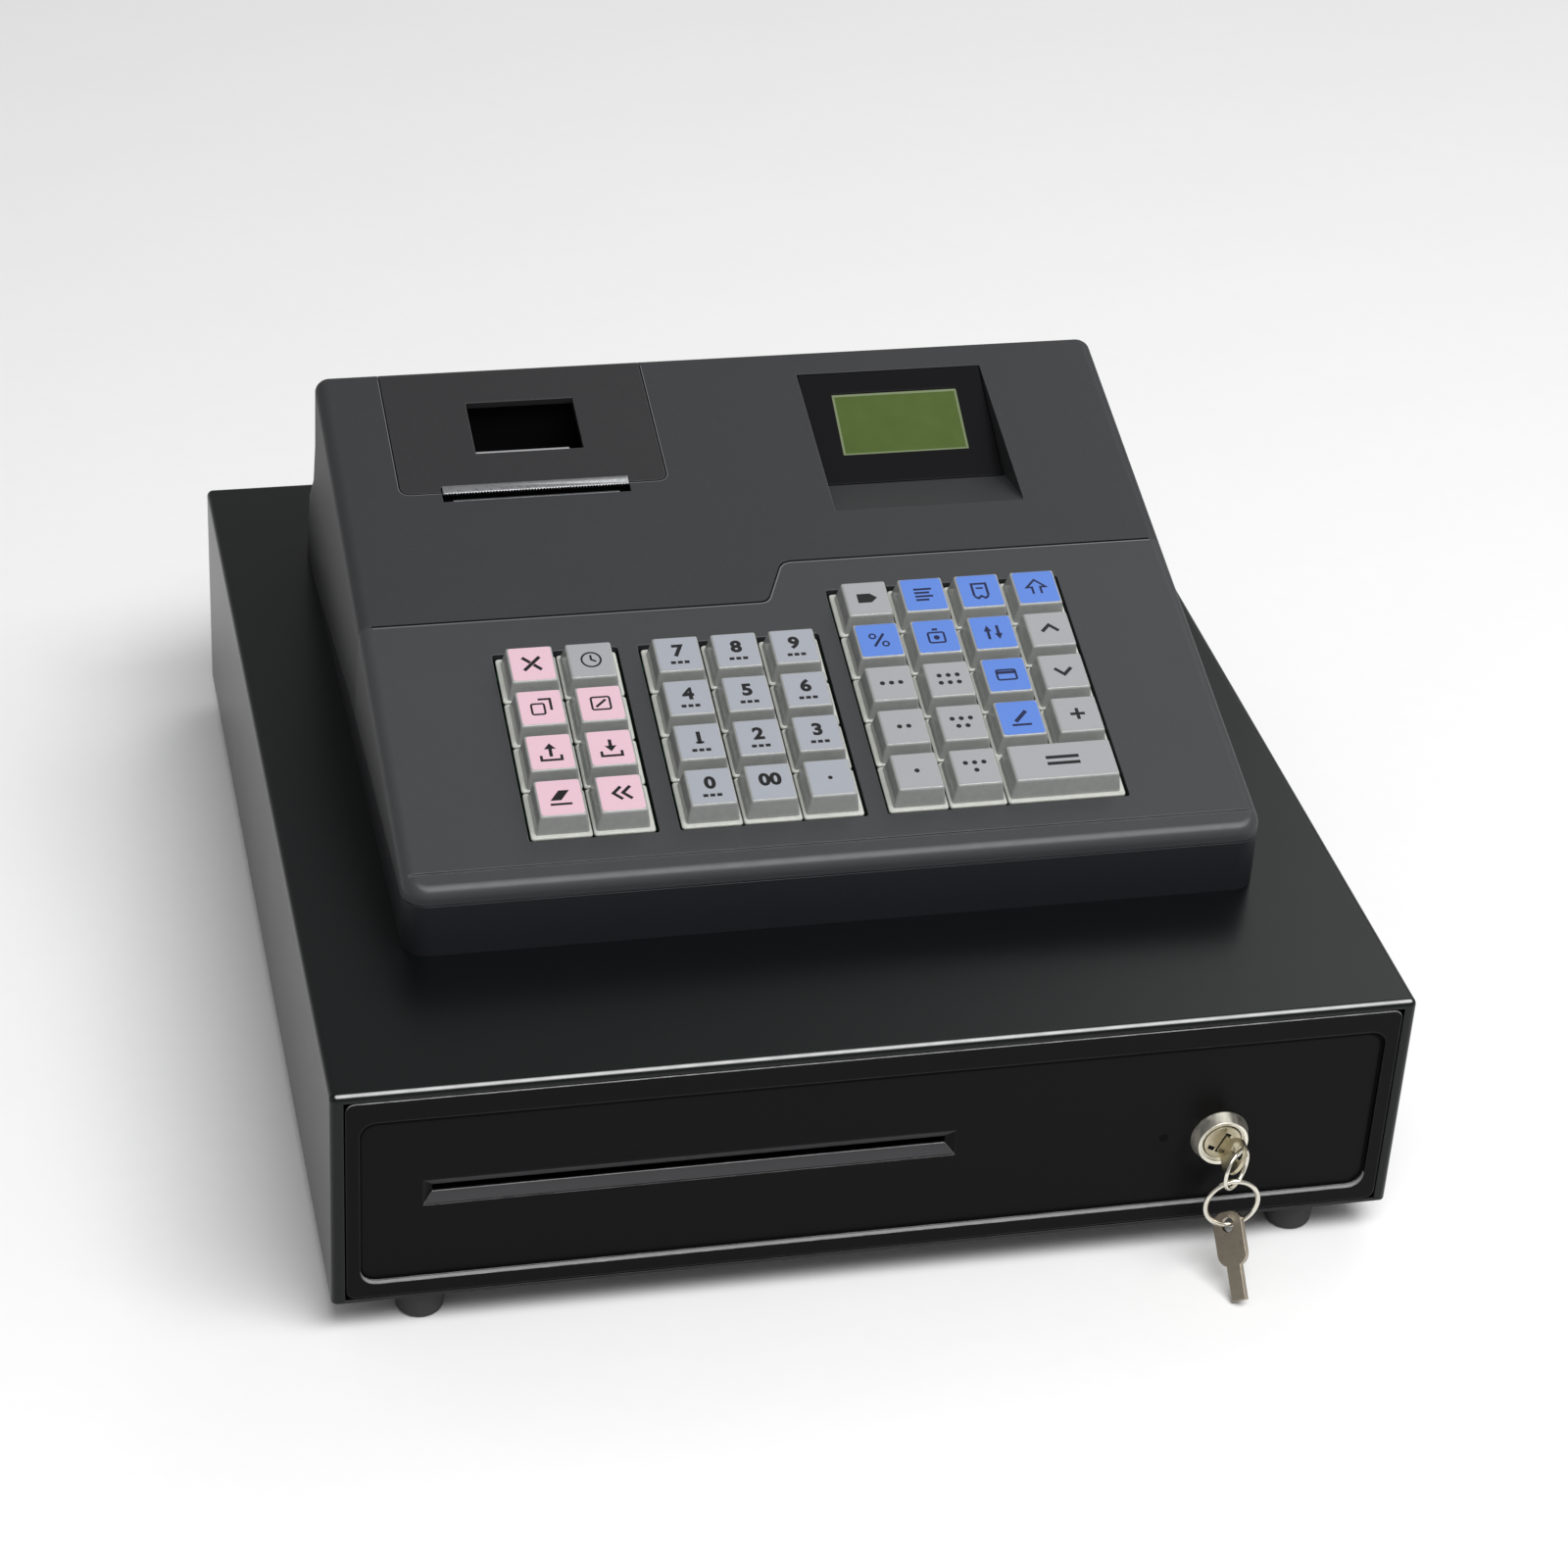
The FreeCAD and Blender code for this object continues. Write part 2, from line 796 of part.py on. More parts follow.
def make_case_shell():
    outer = block("shell_outer", (-half_case, front_y, case_floor_z), (half_case, rear_y, case_top_z))
    floor = case_floor_z.value
    bent = soften("shell_bent", outer, size.case_bend, lambda edge: middle_of(edge).z > floor)
    over = size.overrun
    gauge = size.sheet_gauge
    hollow = block("shell_hollow", (-half_case + gauge, front_y + gauge, case_floor_z - over),
                   (half_case - gauge, rear_y - gauge, case_top_z - gauge))
    mouth = block("shell_mouth", (-half_case + size.side_flange, front_y - over, case_floor_z - over),
                  (half_case - size.side_flange, front_y + gauge + over, case_top_z - size.top_flange))
    hole_x = size.cable_hole_offset
    hole_z = case_floor_z + size.cable_hole_rise
    hole = block("shell_cable_hole", (hole_x, rear_y - gauge - over, hole_z),
                 (hole_x + size.cable_hole_width, rear_y + over, hole_z + size.cable_hole_height))
    return cut("case_shell", bent, [hollow, mouth, hole])


def make_case_floor():
    gauge = size.sheet_gauge
    inner = half_case - gauge
    over = size.overrun
    pan = block("pan_blank", (-inner, front_y + gauge, case_floor_z),
                (inner, rear_y - gauge, case_floor_z + size.pan_upstand))
    tongue = block("pan_tongue", (-half_case + size.side_flange, front_y, case_floor_z),
                   (half_case - size.side_flange, front_y + gauge, case_floor_z + gauge))
    trough = block("pan_trough", (-inner + gauge, front_y - over, case_floor_z + gauge),
                   (inner - gauge, rear_y - gauge + over, case_floor_z + size.pan_upstand + over))
    plate = cut("pan_plate", join("pan_whole", [pan, tongue]), [trough])
    return group("case_floor", [plate] + [fixed_rail(side) for side in (-1, 1)])


def fixed_rail(side):
    """A channel on a side wall of the case, open towards the drawer."""
    name = "left" if side < 0 else "right"
    wall = size.rail_wall
    over = size.overrun
    outer_x = half_case - size.sheet_gauge
    inner_x = outer_x - size.rail_depth
    low_z = case_floor_z + size.rail_rise
    start_y = front_y + size.rail_start
    end_y = rear_y - size.rail_rear_room
    edges = in_order(side * outer_x, side * inner_x)
    channel = block(f"rail_{name}", (edges[0], start_y, low_z), (edges[1], end_y, low_z + size.rail_height))
    groove_edges = in_order(side * (outer_x - wall), side * (inner_x - over))
    groove = block(f"rail_{name}_groove", (groove_edges[0], start_y - over, low_z + wall),
                   (groove_edges[1], end_y + over, low_z + size.rail_height - wall))
    return cut(f"rail_{name}_channel", channel, [groove])


def make_feet():
    feet = []
    for across in (-1, 1):
        for name, foot_y in (("front", front_y + size.foot_inset_front),
                             ("rear", rear_y - size.foot_inset_rear)):
            foot_x = across * (half_case - size.foot_inset_side)
            side = "left" if across < 0 else "right"
            foot = cone(f"foot_{name}_{side}_cone", (foot_x, foot_y, 0), size.foot_base_radius,
                        size.foot_top_radius, size.foot_height, "z")
            feet.append(soften(f"foot_{name}_{side}", foot, size.foot_edge,
                               lambda edge: middle_of(edge).z < size.foot_height.value / 2
                               and edge.Length > size.foot_height.value * 2))
    return group("feet", feet)


# Solenoid latch

def make_latch_unit():
    gauge = size.latch_plate_gauge
    pan_z = case_floor_z + size.sheet_gauge
    half = size.latch_plate_width / 2
    plate_y = latch_y - size.hook_hub_radius
    plate = block("latch_plate", (-half, plate_y, pan_z),
                  (half, plate_y + size.latch_plate_depth, pan_z + gauge))
    hook_z = case_floor_z + size.latch_hook_rise
    pin_x = size.hook_arm_width
    column = rod("latch_column", (pin_x, latch_y, pan_z + gauge), size.hook_hub_radius,
                 hook_z - pan_z - gauge, "z")
    pin = rod("latch_pin", (pin_x, latch_y, pan_z), size.hook_pin_radius,
              hook_z + gauge * 2 - pan_z, "z")
    coil_x = size.solenoid_offset
    coil = block("latch_solenoid", (-coil_x - size.solenoid_width / 2, plate_y, pan_z + gauge),
                 (-coil_x + size.solenoid_width / 2, plate_y + size.solenoid_length,
                  pan_z + gauge + size.solenoid_width))
    return group("latch_unit", [join("latch_bracket", [plate, column, pin]), coil])


def make_latch_hook():
    gauge = size.latch_plate_gauge
    low = case_floor_z + size.latch_hook_rise
    middle = size.hook_arm_width
    half = size.hook_arm_width / 2
    tip_y = latch_y - size.hook_arm_length
    hub = rod("hook_hub", (middle, latch_y, low), size.hook_hub_radius, gauge, "z")
    arm = block("hook_arm", (middle - half, tip_y, low), (middle + half, latch_y, low + gauge))
    nose = block("hook_nose_block", (middle - half - size.hook_nose, tip_y, low),
                 (middle, tip_y + size.hook_nose_gauge, low + gauge))
    bore = rod("hook_bore", (middle, latch_y, low - size.overrun), size.hook_pin_radius + size.turning_gap,
               gauge + size.overrun * 2, "z")
    return cut("latch_hook", join("hook_whole", [hub, arm, nose]), [bore])


# Sliding drawer

def make_drawer_box():
    wall = size.drawer_wall
    over = size.overrun
    top_z = drawer_z + size.drawer_height
    blank = block("drawer_blank", (-drawer_half, drawer_y, drawer_z), (drawer_half, drawer_end_y, top_z))
    hollow = block("drawer_hollow", (-drawer_half + wall, drawer_y + wall, drawer_z + wall),
                   (drawer_half - wall, drawer_end_y - wall, top_z + over))
    low_front = block("drawer_low_front",
                      (-drawer_half + wall, drawer_y - over, drawer_z + size.front_wall_height),
                      (drawer_half - wall, drawer_y + wall + over, top_z + over))
    box = cut("drawer_tub", blank, [hollow, low_front])
    return group("drawer_box", [box, make_strike()] + [moving_rail(side) for side in (-1, 1)])


def moving_rail(side):
    """A bar on a side of the drawer that runs in the fixed channel."""
    gap = size.runner_gap
    low_z = case_floor_z + size.rail_rise + size.rail_wall
    high_z = case_floor_z + size.rail_rise + size.rail_height - size.rail_wall - gap
    outer_x = half_case - size.sheet_gauge - size.rail_wall - gap
    edges = in_order(side * drawer_half, side * outer_x)
    name = "left" if side < 0 else "right"
    return block(f"runner_{name}", (edges[0], front_y + size.rail_start, low_z),
                 (edges[1], drawer_end_y, high_z))


def make_strike():
    """The pin behind the drawer that the latch hook takes hold of."""
    low_z = case_floor_z + size.latch_hook_rise - size.latch_plate_gauge - size.strike_plate
    pin_y = drawer_end_y + size.strike_reach
    plate = block("strike_plate_block", (-size.strike_offset - size.strike_width / 2, drawer_end_y, low_z),
                  (-size.strike_offset + size.strike_width / 2, pin_y + size.strike_radius,
                   low_z + size.strike_plate))
    pin = rod("strike_pin", (-size.strike_offset, pin_y, low_z), size.strike_radius,
              size.latch_plate_gauge * 3, "z")
    return join("strike", [plate, pin])


def make_drawer_front():
    over = size.overrun
    half = half_case - size.side_flange - size.front_gap
    low_z = case_floor_z + size.front_rise
    high_z = case_top_z - size.top_flange - size.front_gap
    blank = block("front_blank", (-half, front_y, low_z), (half, drawer_y, high_z))
    rounded = soften("front_rounded", blank, size.front_corner, lambda edge: same_way(edge, Y_AXIS))
    recess = block("front_recess", (-half + size.border_side, front_y - over, low_z + size.border_base),
                   (half - size.border_side, front_y + size.panel_sink, high_z - size.border_top))
    soft_recess = soften("front_soft_recess", recess, size.panel_corner, lambda edge: same_way(edge, Y_AXIS))
    rim = size.front_rim
    back = block("front_back", (-half + rim, front_y + size.front_plate, low_z + rim),
                 (half - rim, drawer_y + over, high_z - rim))
    body_radius = size.lock_body_radius + size.lock_hole_gap
    lock_hole = rod("front_lock_hole", (lock_x, front_y - over, lock_z), body_radius,
                    size.front_plate + over * 2, "y")
    panel = cut("front_panel", rounded, [soft_recess, back, lock_hole, note_slot()])
    boss_y = front_y + size.panel_sink * 2
    bosses = [rod(f"front_boss_{index}", (place_x, boss_y, case_floor_z + size.boss_rise), size.boss_radius,
                  drawer_y - boss_y, "y")
              for index, place_x in enumerate((-size.boss_spread, Size(0), size.boss_spread))]
    return join("drawer_front", [panel] + bosses)


def note_slot():
    """The bevelled slot that notes and cheques are dropped through."""
    face_y = front_y + size.panel_sink
    centre_z = case_floor_z + size.slot_rise
    bevel = taper("slot_bevel", (size.slot_length, size.slot_height),
                  (size.slot_length - size.slit_inset * 2, size.slit_height), size.slot_bevel_depth)
    place(bevel, (slot_middle, face_y, centre_z))
    half = size.slot_length / 2 - size.slit_inset
    slit = block("slot_slit", (slot_middle - half, face_y, centre_z - size.slit_height / 2),
                 (slot_middle + half, front_y + size.front_plate + size.overrun,
                  centre_z + size.slit_height / 2))
    return join("note_slot", [bevel, slit])


def tray_sizes():
    """The inner width of one compartment and the corner places of the tray."""
    half = drawer_half - size.drawer_wall - size.tray_gap
    low_z = drawer_z + size.drawer_wall
    start_y = front_y + size.tray_setback
    inner = (half * 2 - size.tray_wall * (BILL_BAYS + 1)) / BILL_BAYS
    return half, low_z, start_y, inner


def bill_bay_start(start_y):
    """Where the note compartments begin behind the coin compartments."""
    return start_y + size.tray_wall + (size.coin_length + size.tray_wall) * COIN_ROWS


def make_cash_tray():
    half, low_z, start_y, inner = tray_sizes()
    wall = size.tray_wall
    top_z = low_z + size.tray_height
    blank = block("tray_blank", (-half, start_y, low_z), (half, tray_end_y, top_z))
    bill_y = bill_bay_start(start_y)
    hollows = []
    for column in range(BILL_BAYS):
        left = -half + wall + (inner + wall) * column
        for row in range(COIN_ROWS):
            near = start_y + wall + (size.coin_length + wall) * row
            hollows.append(block(f"coin_hollow_{column}_{row}", (left, near, low_z + wall),
                                 (left + inner, near + size.coin_length, top_z + size.overrun)))
        hollows.append(block(f"bill_hollow_{column}", (left, bill_y, low_z + wall),
                             (left + inner, tray_end_y - wall, top_z + size.overrun)))
    return cut("cash_tray", blank, hollows)


def make_bill_clips():
    half, low_z, start_y, inner = tray_sizes()
    wall = size.tray_wall
    axle_y = tray_end_y - wall - size.clip_axle_setback
    arm_length = (tray_end_y - wall - bill_bay_start(start_y)) * size.clip_arm_share
    axle_z = low_z + size.tray_height - size.clip_axle_drop
    rest_z = low_z + wall + size.clip_foot_radius + size.part_gap
    drop = angle_of_sine((axle_z - rest_z) / arm_length)
    clips = []
    for column in range(BILL_BAYS):
        left = -half + wall + (inner + wall) * column
        middle = left + inner / 2
        axle = rod(f"clip_axle_{column}", (-inner / 2, 0, 0), size.clip_axle_radius, inner, "x")
        arm = block(f"clip_arm_{column}", (-size.clip_arm_width / 2, -arm_length, -size.clip_arm_gauge / 2),
                    (size.clip_arm_width / 2, 0, size.clip_arm_gauge / 2))
        foot = rod(f"clip_foot_{column}", (-size.clip_arm_width / 2, -arm_length, 0),
                   size.clip_foot_radius, size.clip_arm_width, "x")
        clip = join(f"bill_clip_{column}", [axle, arm, foot])
        clips.append(place(clip, (middle, axle_y, axle_z), X_AXIS, drop))
    return group("bill_clips", clips)


# Lock with its keys

def make_lock_barrel():
    panel_y = front_y + size.panel_sink
    face_y = panel_y - size.lock_stand
    centre = lock_x
    flange = cone("lock_flange", (centre, face_y, lock_z), size.lock_face_radius, size.lock_flange_radius,
                  size.lock_stand, "y")
    sleeve = rod("lock_sleeve", (centre, panel_y, lock_z), size.lock_body_radius, size.lock_body_length, "y")
    nut = hexagon("lock_nut", (centre, front_y + size.front_plate, lock_z), size.lock_nut_radius,
                  size.lock_nut_gauge, "y")
    dish = rod("lock_dish", (centre, face_y - size.overrun, lock_z), size.lock_dish_radius,
               size.lock_dish_depth + size.overrun, "y")
    bore = rod("lock_bore", (centre, face_y - size.overrun, lock_z), size.plug_radius + size.turning_gap,
               size.lock_stand + size.lock_body_length + size.overrun * 2, "y")
    return cut("lock_barrel", join("lock_whole", [flange, sleeve, nut]), [dish, bore])


def make_lock_plug():
    face_y = front_y - lock_face_reach + size.plug_recess
    end_y = front_y + size.panel_sink + size.lock_body_length
    plug = rod("plug_core", (lock_x, face_y, lock_z), size.plug_radius, end_y - face_y, "y")
    half = size.cam_width / 2
    cam = block("plug_cam", (lock_x - size.cam_reach, end_y, lock_z - half),
                (lock_x + half, end_y + size.cam_gauge, lock_z + half))
    return group("lock_plug", [join("plug_with_cam", [plug, cam]), inserted_key(face_y)])


def inserted_key(face_y):
    """The key that stands in the lock, its bow turned a little from upright."""
    half_gauge = size.bow_gauge / 2
    bow_y = -size.bow_stand - size.bow_radius
    shank = block("key_shank", (-half_gauge, -size.bow_stand - size.bow_radius / 2, -size.shank_width / 2),
                  (half_gauge, 0, size.shank_width / 2))
    bow = rod("key_bow", (-half_gauge, bow_y, size.bow_shift), size.bow_radius, size.bow_gauge, "x")
    near = size.bow_slot_half - size.slot_from_face
    far = -size.bow_slot_half - size.slot_from_face
    radius = size.bow_slot_radius
    slot = [rod(f"bow_slot_end_{index}", (-size.bow_gauge, end_y, size.bow_slot_shift), radius,
                size.bow_gauge * 2, "x") for index, end_y in enumerate((near, far))]
    slot.append(block("bow_slot_middle", (-size.bow_gauge, far, size.bow_slot_shift - radius),
                      (size.bow_gauge, near, size.bow_slot_shift + radius)))
    key = cut("inserted_key", join("key_whole", [shank, bow]), slot)
    return place(key, (lock_x, face_y, lock_z), Y_AXIS, size.bow_turn)


def make_key_rings():
    ring_y = front_y - hole_reach
    upright = hoop("link_hoop", size.link_ring_radius, size.link_wire_radius)
    place(upright, axis=X_AXIS, angle=QUARTER)
    link_ring = group("link_ring", [upright])
    link_z = case_floor_z + hook_ring_top - size.link_ring_radius
    place(link_ring, (bow_hole_x, ring_y, link_z), Z_AXIS, size.link_ring_turn)
    key_ring = hoop("key_hoop", size.key_ring_radius, size.key_wire_radius)
    ring_z = case_floor_z + key_ring_top - size.key_ring_radius
    place(key_ring, (bow_hole_x, ring_y, ring_z), X_AXIS, QUARTER)
    return group("key_rings", [link_ring, key_ring])


def make_spare_key():
    half_gauge = size.spare_gauge / 2
    half_bow = size.spare_bow_width / 2
    bow_blank = block("spare_bow", (-half_gauge, -half_bow, -size.spare_bow_length),
                      (half_gauge, half_bow, size.spare_bow_head))
    bow = soften("spare_bow_soft", bow_blank, size.spare_bow_head, lambda edge: same_way(edge, X_AXIS))
    half_blade = size.spare_blade_width / 2
    blade = block("spare_blade", (-half_gauge, -half_blade, -spare_length),
                  (half_gauge, half_blade, -size.spare_bow_length / 2))
    hang = size.spare_hole_radius - size.key_wire_radius - size.ring_seat_gap
    hole = rod("spare_hole", (-size.spare_gauge, 0, -hang), size.spare_hole_radius,
               size.spare_gauge * 2, "x")
    key = cut("spare_flat", join("spare_whole", [bow, blade]), [hole])
    place(key, axis=Z_AXIS, angle=size.spare_twist)
    spare = group("spare_key", [key])
    return place(spare, (bow_hole_x, front_y - hole_reach, spare_pivot_z), X_AXIS, -size.spare_lean)


# Register housing

def register_outline(inset, floor_z):
    """The side view of the register, drawn in from its faces by a wall."""
    front = front_y + size.register_setback + inset
    slope = tangent(size.deck_angle)
    lower = inset / cosine(size.deck_angle)
    lip_z = deck_z - (size.groove_setback - size.register_setback - inset) * slope - lower
    shift = deck_end_y - inset
    return [
        (front, floor_z),
        (front, lip_z),
        (shift, deck_end_z - inset * slope - lower),
        (shift + size.rear_neck_step, deck_end_z - size.rear_neck_drop),
        (shift + size.rear_waist_step, case_top_z + size.rear_waist_rise),
        (shift + size.rear_flare_step, case_top_z + size.rear_flare_rise),
        (shift + size.rear_foot_step, floor_z),
    ]


def front_corner(edge):
    front = front_y.value + size.register_setback.value
    return same_way(edge, Z_AXIS) and abs(middle_of(edge).y - front) < size.shell_corner.value


def rear_corner(edge):
    middle = middle_of(edge)
    at_side = abs(middle.x) > half_register.value - size.shell_wall.value
    behind = middle.y > deck_end_y.value - size.shell_wall.value
    return at_side and behind and not on_the_deck(edge) and not same_way(edge, Y_AXIS)


def on_the_deck(edge):
    return abs(deck.above(middle_of(edge))) < size.groove_depth.value / 4


def make_shells():
    """The lower housing and the covers before they are parted, with the inside form."""
    no_wall = Size(0)
    wall = size.shell_wall
    form = profile("form", "YZ_Plane", register_outline(no_wall, case_top_z), size.register_width,
                   middle=True)
    round_body(form, size.shell_corner, front_corner)
    round_body(form, size.shell_rear_corner, rear_corner)
    round_body(form, size.shell_brow, on_the_deck)
    inner_width = size.register_width - wall * 2
    hollow = profile("hollow", "YZ_Plane", register_outline(wall, case_top_z - size.overrun), inner_width,
                     middle=True)
    round_body(hollow, size.shell_corner - wall, front_corner)
    above_floor = profile("above_floor", "YZ_Plane", register_outline(wall, case_top_z + wall), inner_width,
                          middle=True)
    round_body(above_floor, size.shell_corner - wall, front_corner)
    return cut("base_shell", form, [above_floor]), cut("cover_shell", form, [hollow]), hollow


def seam_line(lift, end_shift):
    """The line in side view where the covers meet the lower housing."""
    base_z = case_top_z + lift
    return [
        (front_y + size.register_setback - size.overrun, base_z + size.seam_front_rise),
        (front_y + size.seam_mid_setback, base_z + size.seam_mid_rise),
        (front_y + size.seam_bend_setback, base_z + size.seam_bend_rise),
        (front_y + size.seam_low_setback, base_z + size.seam_low_rise),
        (seam_end_y + end_shift, case_top_z),
    ]


def make_register_base(base_shell, hollow):
    over = size.overrun
    line = seam_line(Size(0), Size(0))
    under = [(line[-1][0], case_top_z - over), (line[0][0], case_top_z - over)]
    below_seam = profile("below_seam", "YZ_Plane", line + under, size.register_width + over * 2, middle=True)
    lower = common("lower_housing", base_shell, below_seam)
    top = deck_length
    posts = []
    for side, across in (("left", -1), ("right", 1)):
        for name, post_y in (("front", front_y + size.front_post_setback),
                             ("rear", deck_end_y - size.rear_post_room)):
            start = (across * (half_register - size.post_inset), post_y, case_top_z)
            posts.append(rod(f"post_{name}_{side}", start, size.post_radius, top, "z"))
    posts = common("cover_posts", join("cover_post_rods", posts), hollow)
    bay_posts = []
    inset = size.bay_post_inset
    for across in (bay_left + inset, bay_right - inset):
        for along in (bay_start + inset, bay_end - inset):
            spot = deck.point(across, along, -size.bay_depth)
            bay_posts.append(rod(f"bay_post_{len(bay_posts)}", (spot[0], spot[1], case_top_z),
                                 size.post_radius, top, "z"))
    over_bay = deck.block("over_bay", (-half_register, frame_start, -size.bay_depth),
                          (half_register, deck_length + size.bay_depth, deck_length))
    bay_posts = cut("bay_posts", join("bay_post_rods", bay_posts), [over_bay])
    board_posts = []
    inset = size.main_post_inset
    for across in (main_board_left + inset, main_board_right - inset):
        for post_y in (main_board_start_y + inset, main_board_end_y - inset):
            board_posts.append(rod(f"board_post_{len(board_posts)}", (across, post_y, case_top_z),
                                   size.main_post_radius, size.main_board_rise, "z"))
    return join("register_base", [lower, posts, bay_posts] + board_posts)


def parting_line(shift):
    """The stepped line across the deck where the two covers meet."""
    edge = half_register + size.overrun
    return [
        (-edge, parting_left + shift),
        (size.parting_step_left, parting_left + shift),
        (size.parting_step_right, parting_right + shift),
        (edge, parting_right + shift),
    ]


def stepped_half(name, shift, far):
    """One side of the parting, through the whole height of the covers."""
    edge = half_register + size.overrun
    line = parting_line(shift)
    body = deck.plan(name, line + [(edge, far), (-edge, far)], deck_length)
    limit = half_register.value / 2
    return round_body(body, size.parting_round,
                      lambda edge: same_way(edge, Z_AXIS) and abs(middle_of(edge).x) < limit)


def make_upper(cover_shell):
    """Everything above the seam."""
    over = size.overrun
    line = seam_line(size.seam_reveal, size.seam_end_gap)
    rear = rear_foot_y + over
    high = case_top_z + deck_length
    around = [(line[-1][0], case_top_z - over), (rear, case_top_z - over), (rear, high), (line[0][0], high)]
    above_seam = profile("above_seam", "YZ_Plane", line + around, size.register_width + over * 2,
                         middle=True)
    return common("upper_housing", cover_shell, above_seam)


def make_keyboard_cover(upper):
    over = size.overrun
    half_gap = size.parting_gap / 2
    front_half = stepped_half("front_half", -half_gap, -size.groove_setback)
    blank = common("keyboard_blank", upper, front_half)
    tools = [deck.block("ridge_groove", (-half_register - over, -size.groove_width / 2, -size.groove_depth),
                        (half_register + over, size.groove_width / 2, size.groove_depth))]
    for well in WELLS:
        opening = deck.block(f"well_{well.name}_block",
                             (well.middle - well.half_width, size.well_start, -size.shell_wall - over),
                             (well.middle + well.half_width, well.end, over))
        tools.append(soften(f"well_{well.name}", opening, size.well_corner,
                            lambda edge: same_way(edge, deck.normal)))
    bosses = []
    inset = size.board_boss_inset
    side_boss = board_half_width - inset
    for across in (-side_boss, left_boss, right_boss, side_boss):
        far = parting_left - inset if across.value < 0 else board_end - inset
        for along in (size.board_start + inset, far):
            bosses.append(deck.post(f"board_boss_{len(bosses)}", (across, along, board_top),
                                    size.board_boss_radius, -board_top - size.shell_wall))
    return join("keyboard_cover", [cut("keyboard_top", blank, tools)] + bosses)


def make_rear_cover(upper):
    over = size.overrun
    gap = size.lid_gap
    wall = size.shell_wall
    rear_half = stepped_half("rear_half", size.parting_gap / 2, deck_length + size.groove_setback)
    blank = common("rear_blank", upper, rear_half)
    swing_room = wall + size.hinge_radius + deck_length - hinge_place + gap
    opening = deck.block("lid_opening_block", (lid_left - gap, lid_start - gap, -swing_room),
                         (lid_right + gap, deck_length + over * 2, over))
    opening = soften("lid_opening", opening, size.lid_corner, lambda edge: same_way(edge, deck.normal)
                     and edge.BoundBox.YMin < deck.point(0, display_end, 0)[1].value)
    slot = deck.block("paper_slot", (tear_left - gap, paper_slot_start, -wall - over),
                      (tear_right + gap, lid_start, over))
    opened = cut("rear_opened", blank, [opening, slot] + socket_openings())
    seat_start = lid_start - gap - size.lid_seat_width
    seat_half = size.lid_seat_width
    seats = [deck.block(f"lid_seat_{name}", (middle - seat_half, seat_start, -wall - size.lid_seat_gauge),
                        (middle + seat_half, lid_seat_end, -wall))
             for name, middle in (("left", lid_left), ("right", lid_right))]
    ears = []
    for name, left in (("left", lid_left - gap - size.ear_width), ("right", lid_right + gap)):
        ears.append(deck.block(f"ear_{name}", (left, ear_start, -size.ear_depth),
                               (left + size.ear_width, ear_end, -wall)))
    solid = join("rear_solid", [opened, display_tub()] + seats + ears)
    reach = gap + size.hinge_pin_reach + size.hinge_end_gap
    bore = deck.bar("ear_bores", (lid_left - reach, hinge_place, -wall - size.hinge_radius),
                    size.hinge_pin_radius + size.turning_gap, lid_right - lid_left + reach * 2)
    return cut("rear_cover", solid, display_hollows() + [bore])


def display_middle():
    return (display_left + display_right) / 2


def display_tub():
    """The walls and the floor below the display recess."""
    wall = size.display_tub_wall
    half = size.shell_wall / 2
    points = [
        (display_start - wall, -half),
        (display_valley - wall / 2, -size.display_sink - size.display_tub_floor),
        (display_end + wall, -size.display_tub_floor),
        (display_end + wall, -half),
    ]
    width = display_right - display_left + wall * 2
    return deck.section("display_tub", points, display_middle(), width)


def display_hollows():
    """The recess, the ledge for the window and the opening behind it."""
    over = size.overrun
    points = [
        (display_start, 0),
        (display_valley, -size.display_sink),
        (display_end, 0),
        (display_end, over),
        (display_start, over),
    ]
    recess = deck.section("display_recess", points, display_middle(), display_right - display_left)
    pocket = glass.block("window_pocket", (display_left, 0, -size.window_gauge),
                         (display_right, display_run, over))
    ledge = size.window_ledge
    behind = glass.block("screen_opening", (display_left + ledge, ledge, -size.display_tub_floor * 2),
                         (display_right - ledge, display_run - ledge, 0))
    return [recess, pocket, behind]


def socket_faces():
    """The name, middle, width and height of both rear sockets."""
    return (("data", data_socket_x, size.data_socket_width, size.data_socket_height),
            ("power", power_socket_x, size.power_socket_width, size.power_socket_height))


def socket_openings():
    """The holes in the rear wall that the sockets look out of."""
    gap = size.socket_gap
    low = case_top_z + size.main_board_rise + size.board_gauge - gap
    return [block(f"{name}_window", (middle - width / 2 - gap, main_board_end_y, low),
                  (middle + width / 2 + gap, rear_foot_y + size.overrun, low + height + gap * 2))
            for name, middle, width, height in socket_faces()]


# Circuit boards

def all_keys():
    for well in WELLS:
        yield from well.keys()


def make_circuit_boards():
    board = deck.block("switch_board", (-board_half_width, size.board_start, -size.board_drop),
                       (board_half_width, board_end, board_top))
    housings = []
    bores = []
    for name, (across, along), wide in all_keys():
        housings.append(deck.post(f"switch_{name}", (across, along, board_top), size.switch_radius,
                                  size.switch_height))
        bores.append(deck.post(f"bore_{name}", (across, along, board_top),
                               size.stem_radius + size.switch_bore_gap, size.switch_height + size.overrun))
    switches = cut("switch_panel", join("switch_panel_solid", [board] + housings), bores)
    return group("circuit_boards", [switches, main_board()])


